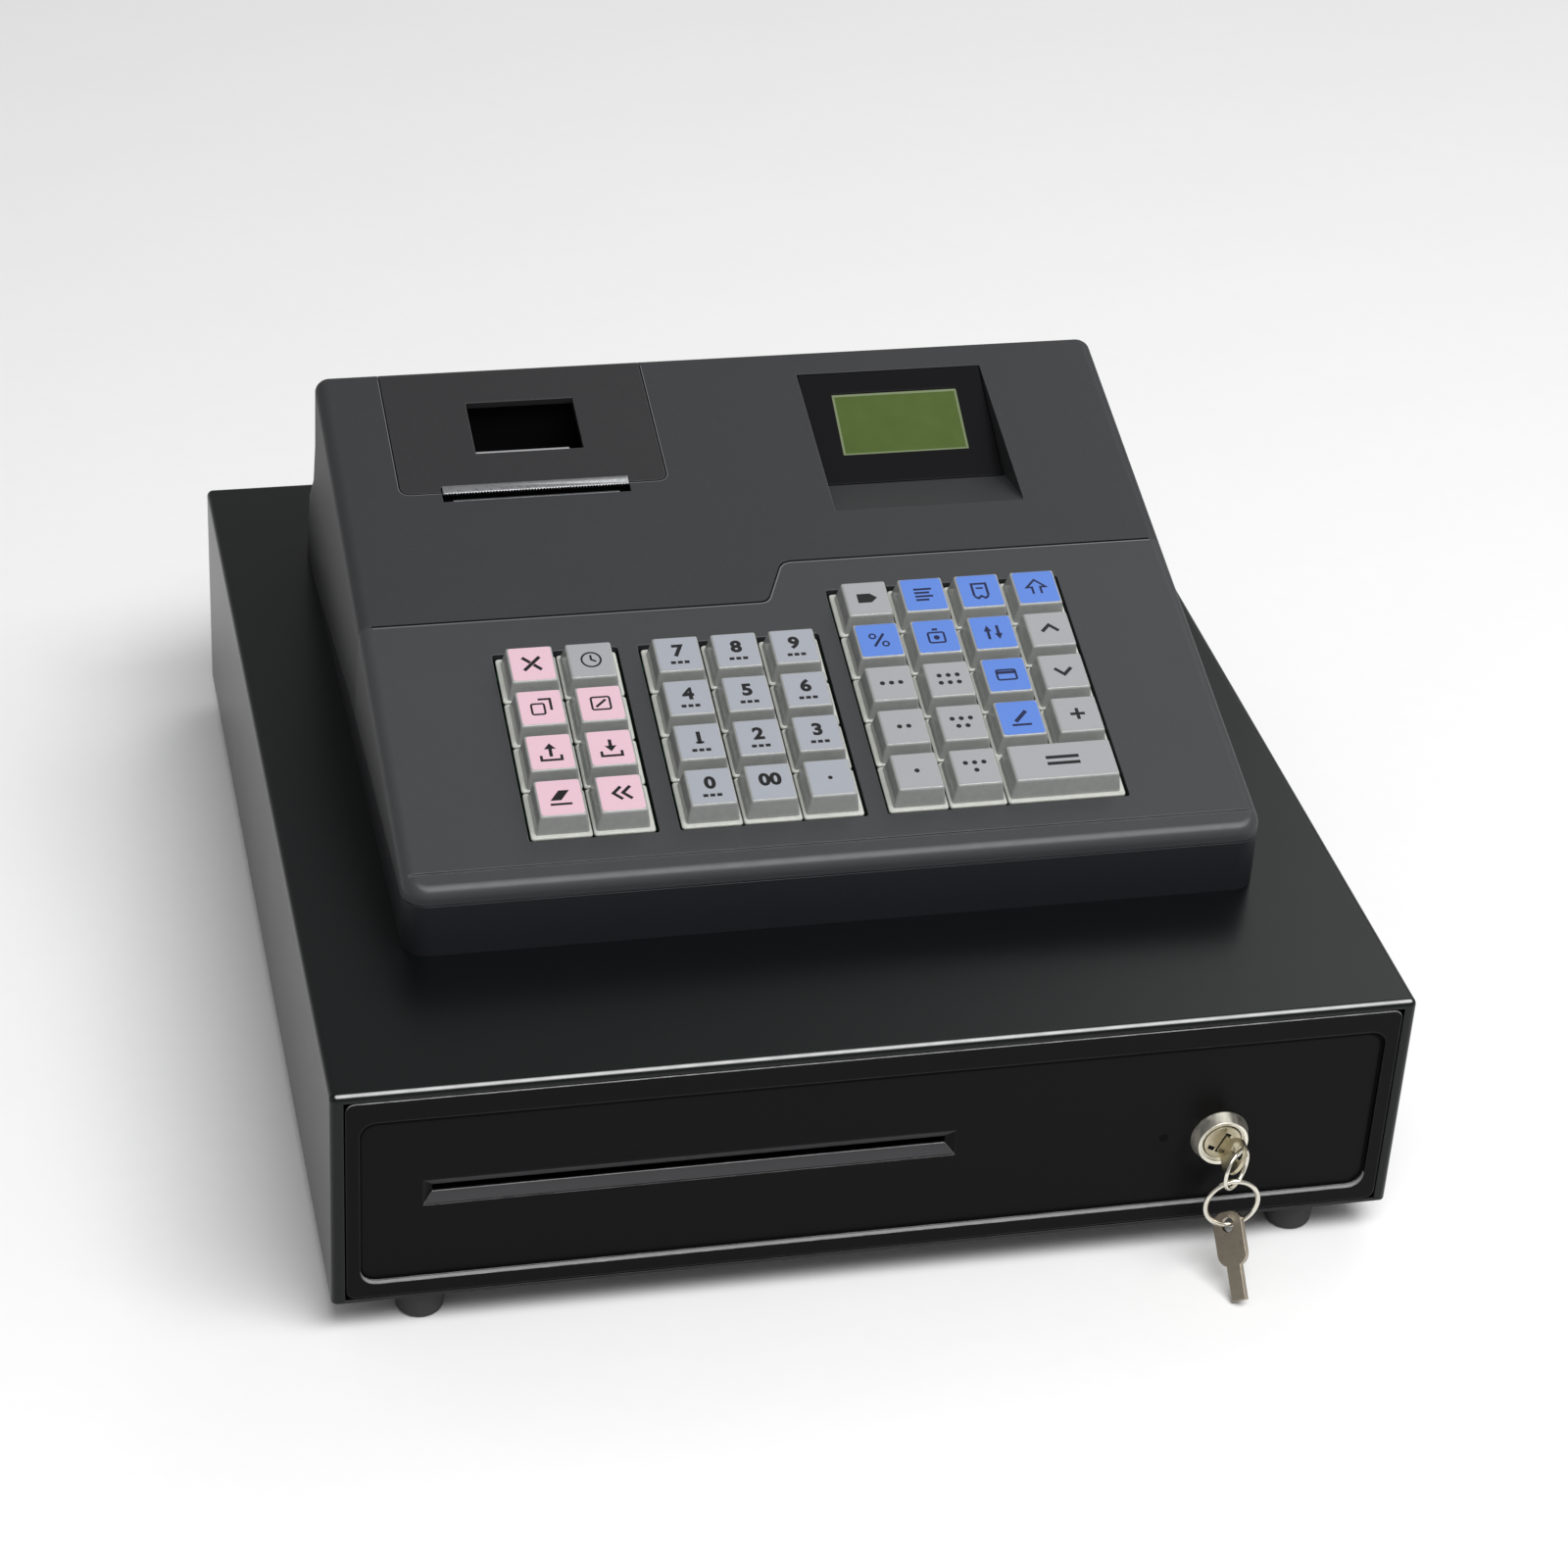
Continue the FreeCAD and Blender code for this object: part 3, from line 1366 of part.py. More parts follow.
def main_board():
    low = case_top_z + size.main_board_rise
    high = low + size.board_gauge
    plate = block("main_plate", (main_board_left, main_board_start_y, low),
                  (main_board_right, main_board_end_y, high))
    end = socket_end_y
    pieces = [plate]
    hollows = []
    for name, middle, width, height in socket_faces():
        pieces.append(block(f"{name}_socket", (middle - width / 2, end - size.socket_length, high),
                            (middle + width / 2, end, high + height)))
    middle = data_socket_x
    centre_z = high + size.data_socket_height / 2
    half_width = size.data_cavity_width / 2
    half_height = size.data_cavity_height / 2
    hollows.append(block("data_cavity",
                         (middle - half_width, end - size.cavity_depth, centre_z - half_height),
                         (middle + half_width, end + size.overrun, centre_z + half_height)))
    power_z = high + size.power_socket_height / 2
    hollows.append(rod("power_bore", (power_socket_x, end - size.cavity_depth, power_z),
                       size.power_bore_radius, size.cavity_depth + size.overrun, "y"))
    pin = rod("power_pin", (power_socket_x, end - size.cavity_depth, power_z), size.power_pin_radius,
              size.cavity_depth - size.overrun, "y")
    hollowed = cut("main_hollowed", join("main_solid", pieces), hollows)
    return join("main_assembly", [hollowed, pin])


# Display

def make_display_module():
    gap = size.window_gap
    window = glass.block("window", (display_left + gap, gap, -size.window_gauge),
                         (display_right - gap, display_run - gap, 0))
    screen_base = -size.window_gauge - size.screen_gauge
    screen = glass.block("screen", (screen_left, size.screen_start, screen_base),
                         (screen_right, screen_end, -size.window_gauge))
    board_base = screen_base - size.driver_board_gauge
    board = glass.block("driver_board", (screen_left, size.screen_start, board_base),
                        (screen_right, screen_end, screen_base))
    return group("display_module", [window, screen, board])


# Printer

def make_printer_cover(cover_shell):
    over = size.overrun
    gap = size.lid_gap
    wall = size.shell_wall
    blank = deck.block("lid_blank", (lid_left, lid_start, -wall),
                       (lid_right, deck_length + over, over))
    far = deck.point(0, display_end, 0)[1].value
    rounded = soften("lid_rounded", blank, size.lid_corner,
                     lambda edge: same_way(edge, deck.normal) and edge.BoundBox.YMin < far)
    plate = common("lid_plate", rounded, cover_shell)
    axle_drop = -wall - size.hinge_radius
    end_gap = size.hinge_end_gap
    width = lid_right - lid_left
    barrel = deck.bar("lid_barrel", (lid_left + end_gap, hinge_place, axle_drop), size.hinge_radius,
                      width - end_gap * 2)
    web = deck.block("lid_web", (lid_left + end_gap, hinge_place - size.hinge_radius / 2, axle_drop),
                     (lid_right - end_gap, hinge_place + size.hinge_radius / 2, -wall / 2))
    reach = gap + size.hinge_pin_reach
    pin = deck.bar("lid_pin", (lid_left - reach, hinge_place, axle_drop), size.hinge_pin_radius,
                   width + reach * 2)
    view = deck.block("lid_view", (view_left, view_start, -wall - over),
                      (view_right, view_end, over))
    notch = deck.block("lid_notch", (tear_left - gap, lid_start - over, -wall - over),
                       (tear_right + gap, tear_end + gap, over))
    return cut("printer_cover", join("lid_solid", [plate, barrel, web, pin]), [view, notch])


def make_printer_mechanism():
    over = size.overrun
    left = frame_left
    right = frame_right
    wall = size.frame_wall
    side = size.frame_side
    bay_front = bay_start + size.bay_wall
    base = deck.block("frame_base_plate", (left, frame_start, -size.frame_base),
                      (right, bay_front, wall - size.frame_base))
    cheeks = [deck.block(f"frame_cheek_{name}", (start, frame_start, -size.frame_base),
                         (start + side, tear_end, -size.frame_top))
              for name, start in (("left", left), ("right", right - side))]
    head_start = platen_place + size.platen_radius + size.head_gap
    head = deck.block("print_head", (left, head_start, -size.frame_base),
                      (right, head_start + size.head_gauge, -size.head_top))
    leaf = deck.block("tear_leaf_plate", (tear_left, tear_end - size.tear_leaf, -size.frame_base / 2),
                      (tear_right, tear_end, size.tear_stand))
    tear = deck.block("tear_blade", (tear_left, tear_start, size.tear_stand - size.tear_gauge),
                      (tear_right, tear_end, size.tear_stand))
    bay = deck.block("bay_block", (bay_left, bay_start, -size.bay_depth),
                     (bay_right, bay_end, -size.bay_top))
    bay_wall = size.bay_wall
    room = deck.block("bay_room", (bay_left + bay_wall, bay_front, bay_wall - size.bay_depth),
                      (bay_right - bay_wall, bay_end - bay_wall, over))
    bores = deck.bar("platen_bores", (left - over, platen_place, -size.platen_drop),
                     size.platen_shaft_radius + size.turning_gap, right - left + over * 2)
    whole = join("printer_solid", [base, head, leaf, tear, bay] + cheeks)
    return cut("printer_mechanism", whole, [room, bores])


def make_platen_roller():
    inner = frame_right - frame_left - size.frame_side * 2
    roller = deck.bar("platen_tube", (frame_left + size.frame_side, platen_place, -size.platen_drop),
                      size.platen_radius, inner)
    shaft = deck.bar("platen_shaft", (frame_left, platen_place, -size.platen_drop),
                     size.platen_shaft_radius, frame_right - frame_left)
    return join("platen_roller", [roller, shaft])


# Key caps

def key_cap(name, extra):
    """A hollow tapered cap with its stem, standing on the middle of its lower edge."""
    height = size.key_stand + size.key_sink
    thick = size.key_wall * 2
    base = size.key_pitch - size.key_gap
    top_width = base - size.key_side_taper
    top_length = base - size.key_end_taper
    outer = taper(f"{name}_block", (base + extra, base), (top_width + extra, top_length), height)
    low = size.key_corner.value
    soft = soften(f"{name}_soft", outer, size.key_corner, lambda edge: middle_of(edge).y > low)
    room = taper(f"{name}_room", (base + extra - thick, base - thick),
                 (top_width + extra - thick, top_length - thick), height - size.key_wall)
    shell = cut(f"{name}_shell", soft, [room])
    foot = size.key_sink - size.stem_depth
    stem = rod(f"{name}_stem", (0, foot, 0), size.stem_radius, height - size.key_wall / 2 - foot, "y")
    return join(name, [shell, stem])


def make_keys():
    single_cap = key_cap("single_cap", Size(0))
    double_cap = key_cap("double_cap", size.key_pitch)
    keys = []
    for name, (across, along), wide in all_keys():
        key = group(name, [double_cap if wide else single_cap])
        place(key, deck.point(across, along, -size.key_sink), X_AXIS, size.deck_angle + QUARTER)
        keys.append(key)
    return keys


def check(things):
    """Stop at the first object that did not build."""
    failed = [thing.Name for thing in doc.Objects if "Invalid" in thing.State or "Error" in thing.State]
    if failed:
        raise RuntimeError(f"did not build: {', '.join(failed)}")
    for thing in things:
        if thing.Shape.isNull() or not thing.Shape.isValid() or not thing.Shape.Solids:
            raise RuntimeError(f"{thing.Name} has no valid shape")


def build_all():
    """Every node of the object."""
    base_shell, cover_shell, hollow = make_shells()
    upper = make_upper(cover_shell)
    drawer = [make_case_shell(), make_case_floor(), make_feet(), make_latch_unit(), make_latch_hook(),
              make_drawer_box(), make_drawer_front(), make_cash_tray(), make_bill_clips(),
              make_lock_barrel(), make_lock_plug(), make_key_rings(), make_spare_key()]
    register = [make_register_base(base_shell, hollow), make_keyboard_cover(upper), make_rear_cover(upper),
                make_circuit_boards(), make_display_module(), make_printer_cover(cover_shell),
                make_printer_mechanism(), make_platen_roller()]
    return drawer + register + make_keys()


fill_sheet()
nodes = build_all()
doc.recompute()
check(nodes)
os.makedirs("parts", exist_ok=True)
for node in nodes:
    node.Label = node.Name
    node.Shape.exportStep(f"parts/{node.Label}.step")
    print(node.Label, len(node.Shape.Solids), round(node.Shape.Volume), node.Shape.BoundBox)
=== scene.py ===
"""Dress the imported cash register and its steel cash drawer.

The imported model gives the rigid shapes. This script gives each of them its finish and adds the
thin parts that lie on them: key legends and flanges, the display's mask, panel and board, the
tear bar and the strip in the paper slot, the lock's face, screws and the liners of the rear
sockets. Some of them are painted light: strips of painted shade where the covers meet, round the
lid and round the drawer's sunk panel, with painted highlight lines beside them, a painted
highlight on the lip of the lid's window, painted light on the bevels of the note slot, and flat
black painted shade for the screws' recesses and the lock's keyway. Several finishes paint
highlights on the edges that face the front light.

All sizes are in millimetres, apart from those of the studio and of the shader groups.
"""

import logging
import math
from collections.abc import Callable, Mapping, Sequence
from dataclasses import dataclass
from enum import Enum

import bmesh
import bpy
from mathutils import Matrix, Vector


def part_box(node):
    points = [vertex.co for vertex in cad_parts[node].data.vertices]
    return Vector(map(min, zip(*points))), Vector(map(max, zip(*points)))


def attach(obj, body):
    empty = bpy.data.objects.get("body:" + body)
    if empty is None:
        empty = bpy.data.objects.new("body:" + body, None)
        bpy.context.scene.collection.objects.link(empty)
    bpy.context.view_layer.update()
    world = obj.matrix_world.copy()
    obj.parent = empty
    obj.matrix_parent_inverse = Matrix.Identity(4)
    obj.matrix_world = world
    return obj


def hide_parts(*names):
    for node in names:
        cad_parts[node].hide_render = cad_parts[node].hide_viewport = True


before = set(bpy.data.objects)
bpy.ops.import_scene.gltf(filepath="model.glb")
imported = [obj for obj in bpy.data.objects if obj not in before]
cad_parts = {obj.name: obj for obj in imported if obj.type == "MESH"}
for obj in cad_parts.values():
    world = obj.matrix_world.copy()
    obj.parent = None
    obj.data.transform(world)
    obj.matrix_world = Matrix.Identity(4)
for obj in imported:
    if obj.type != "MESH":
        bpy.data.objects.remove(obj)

log = logging.getLogger("cash_register")

Colour = tuple[float, float, float]
Place = tuple[float, float, float]
Point = tuple[float, float]
Outline = list[Point]
Loop = list[Vector]

MM = 0.001
# Where a Mix node has its sockets, which have the same names for numbers and for colours.
MIX_NUMBERS = (2, 3)
MIX_COLOURS = (6, 7)
MIXED_COLOUR = 2
# The way that normals face to catch the front light: edges and bends that face it get painted
# highlights.
TO_FRONT_LIGHT: Place = (0.0, -0.57, 0.82)
DUST_COLOUR: Colour = (0.33, 0.32, 0.3)
WHITE = (1.0, 1.0, 1.0, 1.0)


def paint(red: int, green: int, blue: int) -> Colour:
    """Turn a colour as a screen shows it, from 0 to 255, into light amounts.

    Args:
        red: Screen value of red.
        green: Screen value of green.
        blue: Screen value of blue.

    Returns:
        The three light amounts from 0 to 1.
    """

    def light(level: int) -> float:
        """One channel's light amount."""
        share = level / 255
        return share / 12.92 if share <= 0.04045 else ((share + 0.055) / 1.055) ** 2.4

    return light(red), light(green), light(blue)


# Shader groups


class Effect(Enum):
    """The shader groups that several finishes share."""

    GRAIN = "surface_grain"
    # Edge wear, and painted highlights on edges and bends that face the front light.
    WEAR = "edge_wear_and_highlight"
    DUST = "settled_dust"
    LINES = "drawn_lines"
    EDGE = "soft_edge"


class Wiring:
    """Adds nodes to one node tree and joins their sockets."""

    def __init__(self, tree: bpy.types.NodeTree) -> None:
        """Work on the given tree."""
        self.tree = tree

    def node(self, kind: str, **settings: object) -> bpy.types.Node:
        """Add a node.

        Args:
            kind: The node's type name without the ShaderNode before it.
            settings: Properties of the node.

        Returns:
            The new node.
        """
        made = self.tree.nodes.new(f"ShaderNode{kind}")
        for name, value in settings.items():
            setattr(made, name, value)
        return made

    def join(self, source: bpy.types.NodeSocket, target: bpy.types.NodeSocket) -> None:
        """Lead one socket into another."""
        self.tree.links.new(source, target)

    def put(self, socket: bpy.types.NodeSocket, given: object) -> None:
        """Fill an input.

        Args:
            socket: The input.
            given: The value that it holds, or the socket that leads into it.
        """
        if isinstance(given, bpy.types.NodeSocket):
            self.join(given, socket)
        else:
            socket.default_value = given

    def feed(self, node: bpy.types.Node, **inputs: object) -> bpy.types.Node:
        """Give a node its inputs by name, each a value or the socket that it comes from.

        Args:
            node: The node that takes the inputs.
            inputs: Socket names, with underscores for blanks, and what goes in.

        Returns:
            The same node.
        """
        for name, given in inputs.items():
            self.put(node.inputs[name.replace("_", " ")], given)
        return node

    def sum_of(self, operation: str, *terms: object) -> bpy.types.NodeSocket:
        """Reckon with up to three numbers or sockets.

        Args:
            operation: A Math node's operation.
            terms: Values or sockets.

        Returns:
            The socket of the result.
        """
        node = self.node("Math", operation=operation)
        for socket, term in zip(node.inputs, terms):
            self.put(socket, term)
        return node.outputs[0]

    def dot(self, direction: bpy.types.NodeSocket, other: object) -> bpy.types.NodeSocket:
        """How far two directions agree, as their dot product.

        Args:
            direction: The socket of the first.
            other: The second, a value or its socket.

        Returns:
            The socket of the result.
        """
        node = self.node("VectorMath", operation="DOT_PRODUCT")
        self.put(node.inputs[0], direction)
        self.put(node.inputs[1], other)
        return node.outputs["Value"]

    def spread(self, value: bpy.types.NodeSocket, low: float, high: float,
               start: float = 0.0, end: float = 1.0) -> bpy.types.NodeSocket:
        """Carry a range of values over to another range, clamped.

        Args:
            value: The socket to read.
            low: Where the read range starts.
            high: Where the read range ends.
            start: The result at low.
            end: The result at high.

        Returns:
            The socket of the result.
        """
        node = self.node("MapRange")
        self.feed(node, Value=value, From_Min=low, From_Max=high, To_Min=start, To_Max=end)
        return node.outputs["Result"]

    def blend(self, share: bpy.types.NodeSocket, first: object, second: object
              ) -> bpy.types.NodeSocket:
        """Mix two colours.

        Args:
            share: How much of the second colour shows.
            first: A colour or its socket.
            second: A colour or its socket.

        Returns:
            The mixed colour's socket.
        """
        node = self.node("Mix", data_type="RGBA")
        self.join(share, node.inputs["Factor"])
        for index, given in zip(MIX_COLOURS, (first, second)):
            self.put(node.inputs[index], (*given, 1.0) if isinstance(given, tuple) else given)
        return node.outputs[MIXED_COLOUR]


class Shelf:
    """Keeps the shader groups, each built once."""

    def __init__(self) -> None:
        """Start with no group built."""
        self.groups: dict[Effect, bpy.types.NodeTree] = {}

    def take(self, effect: Effect) -> bpy.types.NodeTree:
        """Find or build a group.

        Args:
            effect: Which group.

        Returns:
            Its node tree.
        """
        if effect not in self.groups:
            builders = {
                Effect.GRAIN: self.grain, Effect.WEAR: self.wear, Effect.DUST: self.dust,
                Effect.LINES: self.lines, Effect.EDGE: self.edge,
            }
            self.groups[effect] = builders[effect]()
        return self.groups[effect]

    def start(self, effect: Effect, inputs: dict[str, float], outputs: dict[str, str]
              ) -> tuple[Wiring, bpy.types.Node, bpy.types.Node]:
        """Open a new group with its sockets.

        Args:
            effect: Which group.
            inputs: Names of its number inputs with what they hold at first.
            outputs: Names of its outputs with their socket types.

        Returns:
            The wiring, the input node and the output node.
        """
        tree = bpy.data.node_groups.new(effect.value, "ShaderNodeTree")
        for name, value in inputs.items():
            socket = tree.interface.new_socket(name, in_out="INPUT", socket_type="NodeSocketFloat")
            socket.default_value = value
        for name, kind in outputs.items():
            tree.interface.new_socket(name, in_out="OUTPUT", socket_type=kind)
        return Wiring(tree), tree.nodes.new("NodeGroupInput"), tree.nodes.new("NodeGroupOutput")

    def noise(self, wiring: Wiring, scale: object, detail: float) -> bpy.types.NodeSocket:
        """Noise over the object's own space.

        Args:
            wiring: The tree to add it to.
            scale: Bumps for each metre, a value or a socket.
            detail: How many finer layers it has.

        Returns:
            The noise value's socket.
        """
        place = wiring.node("TexCoord").outputs["Object"]
        made = wiring.node("TexNoise")
        wiring.feed(made, Vector=place, Scale=scale, Detail=detail, Roughness=0.6)
        return made.outputs[0]

    def grain(self) -> bpy.types.NodeTree:
        """Fine skin of a moulding or a paint film, with slow uneven tone.

        Returns:
            The group.
        """
        wiring, given, made = self.start(
            Effect.GRAIN, {"Fineness": 2500.0, "Unevenness": 0.1},
            {"Height": "NodeSocketFloat", "Tone": "NodeSocketFloat", "Gloss": "NodeSocketFloat"})
        fine = self.noise(wiring, given.outputs["Fineness"], 2.0)
        slow = self.noise(wiring, 9.0, 3.0)
        patch = self.noise(wiring, 45.0, 4.0)
        drift = wiring.sum_of("ADD", wiring.sum_of("MULTIPLY", slow, 0.6),
                              wiring.sum_of("MULTIPLY", patch, 0.4))
        swing, speck = (
            wiring.sum_of("MULTIPLY", wiring.sum_of("SUBTRACT", noise, 0.5),
                          given.outputs["Unevenness"])
            for noise in (drift, fine))
        wiring.join(fine, made.inputs["Height"])
        wiring.join(wiring.sum_of("ADD", wiring.sum_of("MULTIPLY", swing, 1.6), speck),
                    made.inputs["Tone"])
        wiring.join(swing, made.inputs["Gloss"])
        return wiring.tree

    def wear(self) -> bpy.types.NodeTree:
        """A mask along outer edges, partly wear and partly painted highlight where they face the
        front light, and a painted highlight mask on bends that face it.

        Returns:
            The group.
        """
        wiring, given, made = self.start(
            Effect.WEAR, {"Radius": 0.0006, "Amount": 0.5, "Handled": 0.0},
            {"Mask": "NodeSocketFloat", "Crest": "NodeSocketFloat"})
        rounded = wiring.node("Bevel", samples=4)
        wiring.join(given.outputs["Radius"], rounded.inputs["Radius"])
        facing = wiring.dot(rounded.outputs[0], wiring.node("NewGeometry").outputs["Normal"])
        bend = wiring.spread(facing, 0.995, 0.85)
        # How far the rounded normal faces the front light, which decides the painted highlights.
        toward_light = wiring.dot(rounded.outputs[0], TO_FRONT_LIGHT)
        near = wiring.spread(toward_light, 0.6, 0.9, 0.04)
        # Mixes in the edges that face the front light, which get painted highlights.
        handled = wiring.node("Mix")
        wiring.feed(handled, Factor=given.outputs["Handled"])
        for index, value in zip(MIX_NUMBERS, (1.0, near)):
            wiring.put(handled.inputs[index], value)
        broken = wiring.spread(self.noise(wiring, 160.0, 5.0), 0.38, 0.62, 0.55)
        mask = wiring.sum_of("MULTIPLY", wiring.sum_of("MULTIPLY", bend, broken),
                             handled.outputs[0])
        wiring.join(wiring.sum_of("MULTIPLY", mask, given.outputs["Amount"]), made.inputs["Mask"])
        # Painted highlight on bends that face the front light.
        crest = wiring.spread(toward_light, 0.955, 0.995)
        even = wiring.sum_of("MULTIPLY_ADD", broken, 0.4, 0.6)
        wiring.join(wiring.sum_of("MULTIPLY", crest, even), made.inputs["Crest"])
        return wiring.tree

    def dust(self) -> bpy.types.NodeTree:
        """A mask on faces that look up, in loose patches.

        Returns:
            The group.
        """
        wiring, given, made = self.start(
            Effect.DUST, {"Amount": 0.1}, {"Mask": "NodeSocketFloat"})
        split = wiring.node("SeparateXYZ")
        wiring.join(wiring.node("NewGeometry").outputs["Normal"], split.inputs[0])
        upward = wiring.spread(split.outputs["Z"], 0.35, 1.0)
        patch = wiring.spread(self.noise(wiring, 900.0, 6.0), 0.5, 0.78, 0.1)
        mask = wiring.sum_of("MULTIPLY", upward, patch)
        wiring.join(wiring.sum_of("MULTIPLY", mask, given.outputs["Amount"]), made.inputs["Mask"])
        return wiring.tree

    def lines(self) -> bpy.types.NodeTree:
        """Long fine marks of drawn or turned metal.

        Returns:
            The group.
        """
        wiring, given, made = self.start(
            Effect.LINES, {"Fineness": 900.0, "Stretch": 0.06},
            {"Height": "NodeSocketFloat", "Gloss": "NodeSocketFloat"})
        squeeze = wiring.node("CombineXYZ")
        wiring.feed(squeeze, X=1.0, Y=1.0, Z=given.outputs["Stretch"])
        longer = wiring.node("VectorMath", operation="MULTIPLY")
        wiring.join(wiring.node("TexCoord").outputs["Object"], longer.inputs[0])
        wiring.join(squeeze.outputs[0], longer.inputs[1])
        marks = wiring.node("TexNoise")
        wiring.feed(marks, Vector=longer.outputs[0], Scale=given.outputs["Fineness"], Detail=4.0)
        wiring.join(marks.outputs[0], made.inputs["Height"])
        wiring.join(wiring.spread(marks.outputs[0], 0.3, 0.7, -0.06, 0.1), made.inputs["Gloss"])
        return wiring.tree

    def edge(self) -> bpy.types.NodeTree:
        """A normal that turns softly over sharp edges, so that they catch light.

        Returns:
            The group.
        """
        wiring, given, made = self.start(
            Effect.EDGE, {"Radius": 0.0004}, {"Normal": "NodeSocketVector"})
        rounded = wiring.node("Bevel", samples=6)
        wiring.join(given.outputs["Radius"], rounded.inputs["Radius"])
        wiring.join(rounded.outputs[0], made.inputs["Normal"])
        return wiring.tree


shelf = Shelf()


# Finishes


@dataclass(frozen=True)
class Finish:
    """What every finish shares: a name, a colour and how it shines."""

    name: str
    colour: Colour
    rough: float = 0.5
    specular: float = 0.5
    edge: float = 0.4

    def material(self) -> bpy.types.Material:
        """Find the finish's material, or build it.

        Returns:
            The material.
        """
        known = bpy.data.materials.get(self.name)
        if known is not None:
            return known
        made = bpy.data.materials.new(self.name)
        made.use_nodes = True
        wiring = Wiring(made.node_tree)
        shader = made.node_tree.nodes["Principled BSDF"]
        wiring.feed(shader, Base_Color=(*self.colour, 1.0), Roughness=self.rough,
                    Specular_IOR_Level=self.specular)
        self.fill(wiring, shader)
        return made

    def fill(self, wiring: Wiring, shader: bpy.types.Node) -> None:
        """Add what makes the finish more than one flat colour."""

    def group(self, wiring: Wiring, effect: Effect, **inputs: float) -> bpy.types.Node:
        """Place a shared shader group.

        Args:
            wiring: The material's wiring.
            effect: Which group.
            inputs: Its values here.

        Returns:
            The group's node.
        """
        node = wiring.node("Group", node_tree=shelf.take(effect))
        return wiring.feed(node, **inputs)

    def tinted(self, wiring: Wiring, tone: bpy.types.NodeSocket) -> bpy.types.NodeSocket:
        """The finish's colour, lighter or darker by a tone around zero.

        Args:
            wiring: The material's wiring.
            tone: The socket of the tone.

        Returns:
            The colour's socket.
        """
        node = wiring.node("HueSaturation")
        wiring.feed(node, Color=(*self.colour, 1.0), Value=wiring.sum_of("ADD", 1.0, tone))
        return node.outputs[0]

    def relief(self, wiring: Wiring, shader: bpy.types.Node, height: bpy.types.NodeSocket,
               depth: float) -> None:
        """Lead a bump over softened edges into the shader's normal.

        Args:
            wiring: The material's wiring.
            shader: The shader that takes the normal.
            height: The bump's height.
            depth: How deep the bump is, in metres.
        """
        bump = wiring.node("Bump")
        wiring.feed(bump, Height=height, Strength=1.0, Distance=depth)
        if self.edge:
            soft = self.group(wiring, Effect.EDGE, Radius=self.edge * MM)
            wiring.join(soft.outputs["Normal"], bump.inputs["Normal"])
        wiring.join(bump.outputs[0], shader.inputs["Normal"])


@dataclass(frozen=True)
class Skin(Finish):
    """Moulded plastic, rubber or a paint film: grain, uneven tone, edges partly worn and partly
    painted highlight, and dust.
    """

    fineness: float = 2600.0
    grain: float = 0.03
    uneven: float = 0.1
    wear: float = 0.25
    # The colour of worn edges and of painted highlights on edges and bends.
    worn: Colour = (0.16, 0.16, 0.165)
    handled: float = 0.5
    rub: float = 0.5
    crest: float = 0.0
    dust: float = 0.02

    def fill(self, wiring: Wiring, shader: bpy.types.Node) -> None:
        """Grain, uneven tone, edges partly worn and partly painted highlight, a painted highlight
        on bends that face the front light, and dust.

        Args:
            wiring: The material's wiring.
            shader: The material's shader.
        """
        skin = self.group(wiring, Effect.GRAIN, Fineness=self.fineness, Unevenness=self.uneven)
        worn_and_lit = self.group(wiring, Effect.WEAR, Radius=self.rub * MM, Amount=self.wear,
                            Handled=self.handled)
        settled = self.group(wiring, Effect.DUST, Amount=self.dust)
        colour = self.tinted(wiring, skin.outputs["Tone"])
        # Edges take the pale colour: partly wear, and painted highlight where they face the front
        # light.
        colour = wiring.blend(worn_and_lit.outputs["Mask"], colour, self.worn)
        # A painted highlight on bends that face the front light.
        if self.crest:
            share = wiring.sum_of("MULTIPLY", worn_and_lit.outputs["Crest"], self.crest)
            colour = wiring.blend(share, colour, self.worn)
        colour = wiring.blend(settled.outputs["Mask"], colour, DUST_COLOUR)
        wiring.join(colour, shader.inputs["Base Color"])
        rough = wiring.sum_of("ADD", self.rough, skin.outputs["Gloss"])
        rough = wiring.sum_of("ADD", rough, wiring.sum_of("MULTIPLY", settled.outputs["Mask"], 0.6))
        wiring.join(rough, shader.inputs["Roughness"])
        self.relief(wiring, shader, skin.outputs["Height"], self.grain * MM)


@dataclass(frozen=True)
class PaintedToHeight(Skin):
    """Paint up to a height above the floor and bare drawn steel over it."""

    limit: float = 24.5
    bare: Colour = (0.42, 0.43, 0.44)

    def fill(self, wiring: Wiring, shader: bpy.types.Node) -> None:
        """Paint as elsewhere, then lay the bare steel over it above the limit.

        Args:
            wiring: The material's wiring.
            shader: The material's shader.
        """
        super().fill(wiring, shader)
        split = wiring.node("SeparateXYZ")
        wiring.join(wiring.node("TexCoord").outputs["Object"], split.inputs[0])
        above = wiring.sum_of("GREATER_THAN", split.outputs["Z"], self.limit * MM)
        painted = shader.inputs["Base Color"].links[0].from_socket
        wiring.join(wiring.blend(above, painted, self.bare), shader.inputs["Base Color"])
        wiring.join(above, shader.inputs["Metallic"])


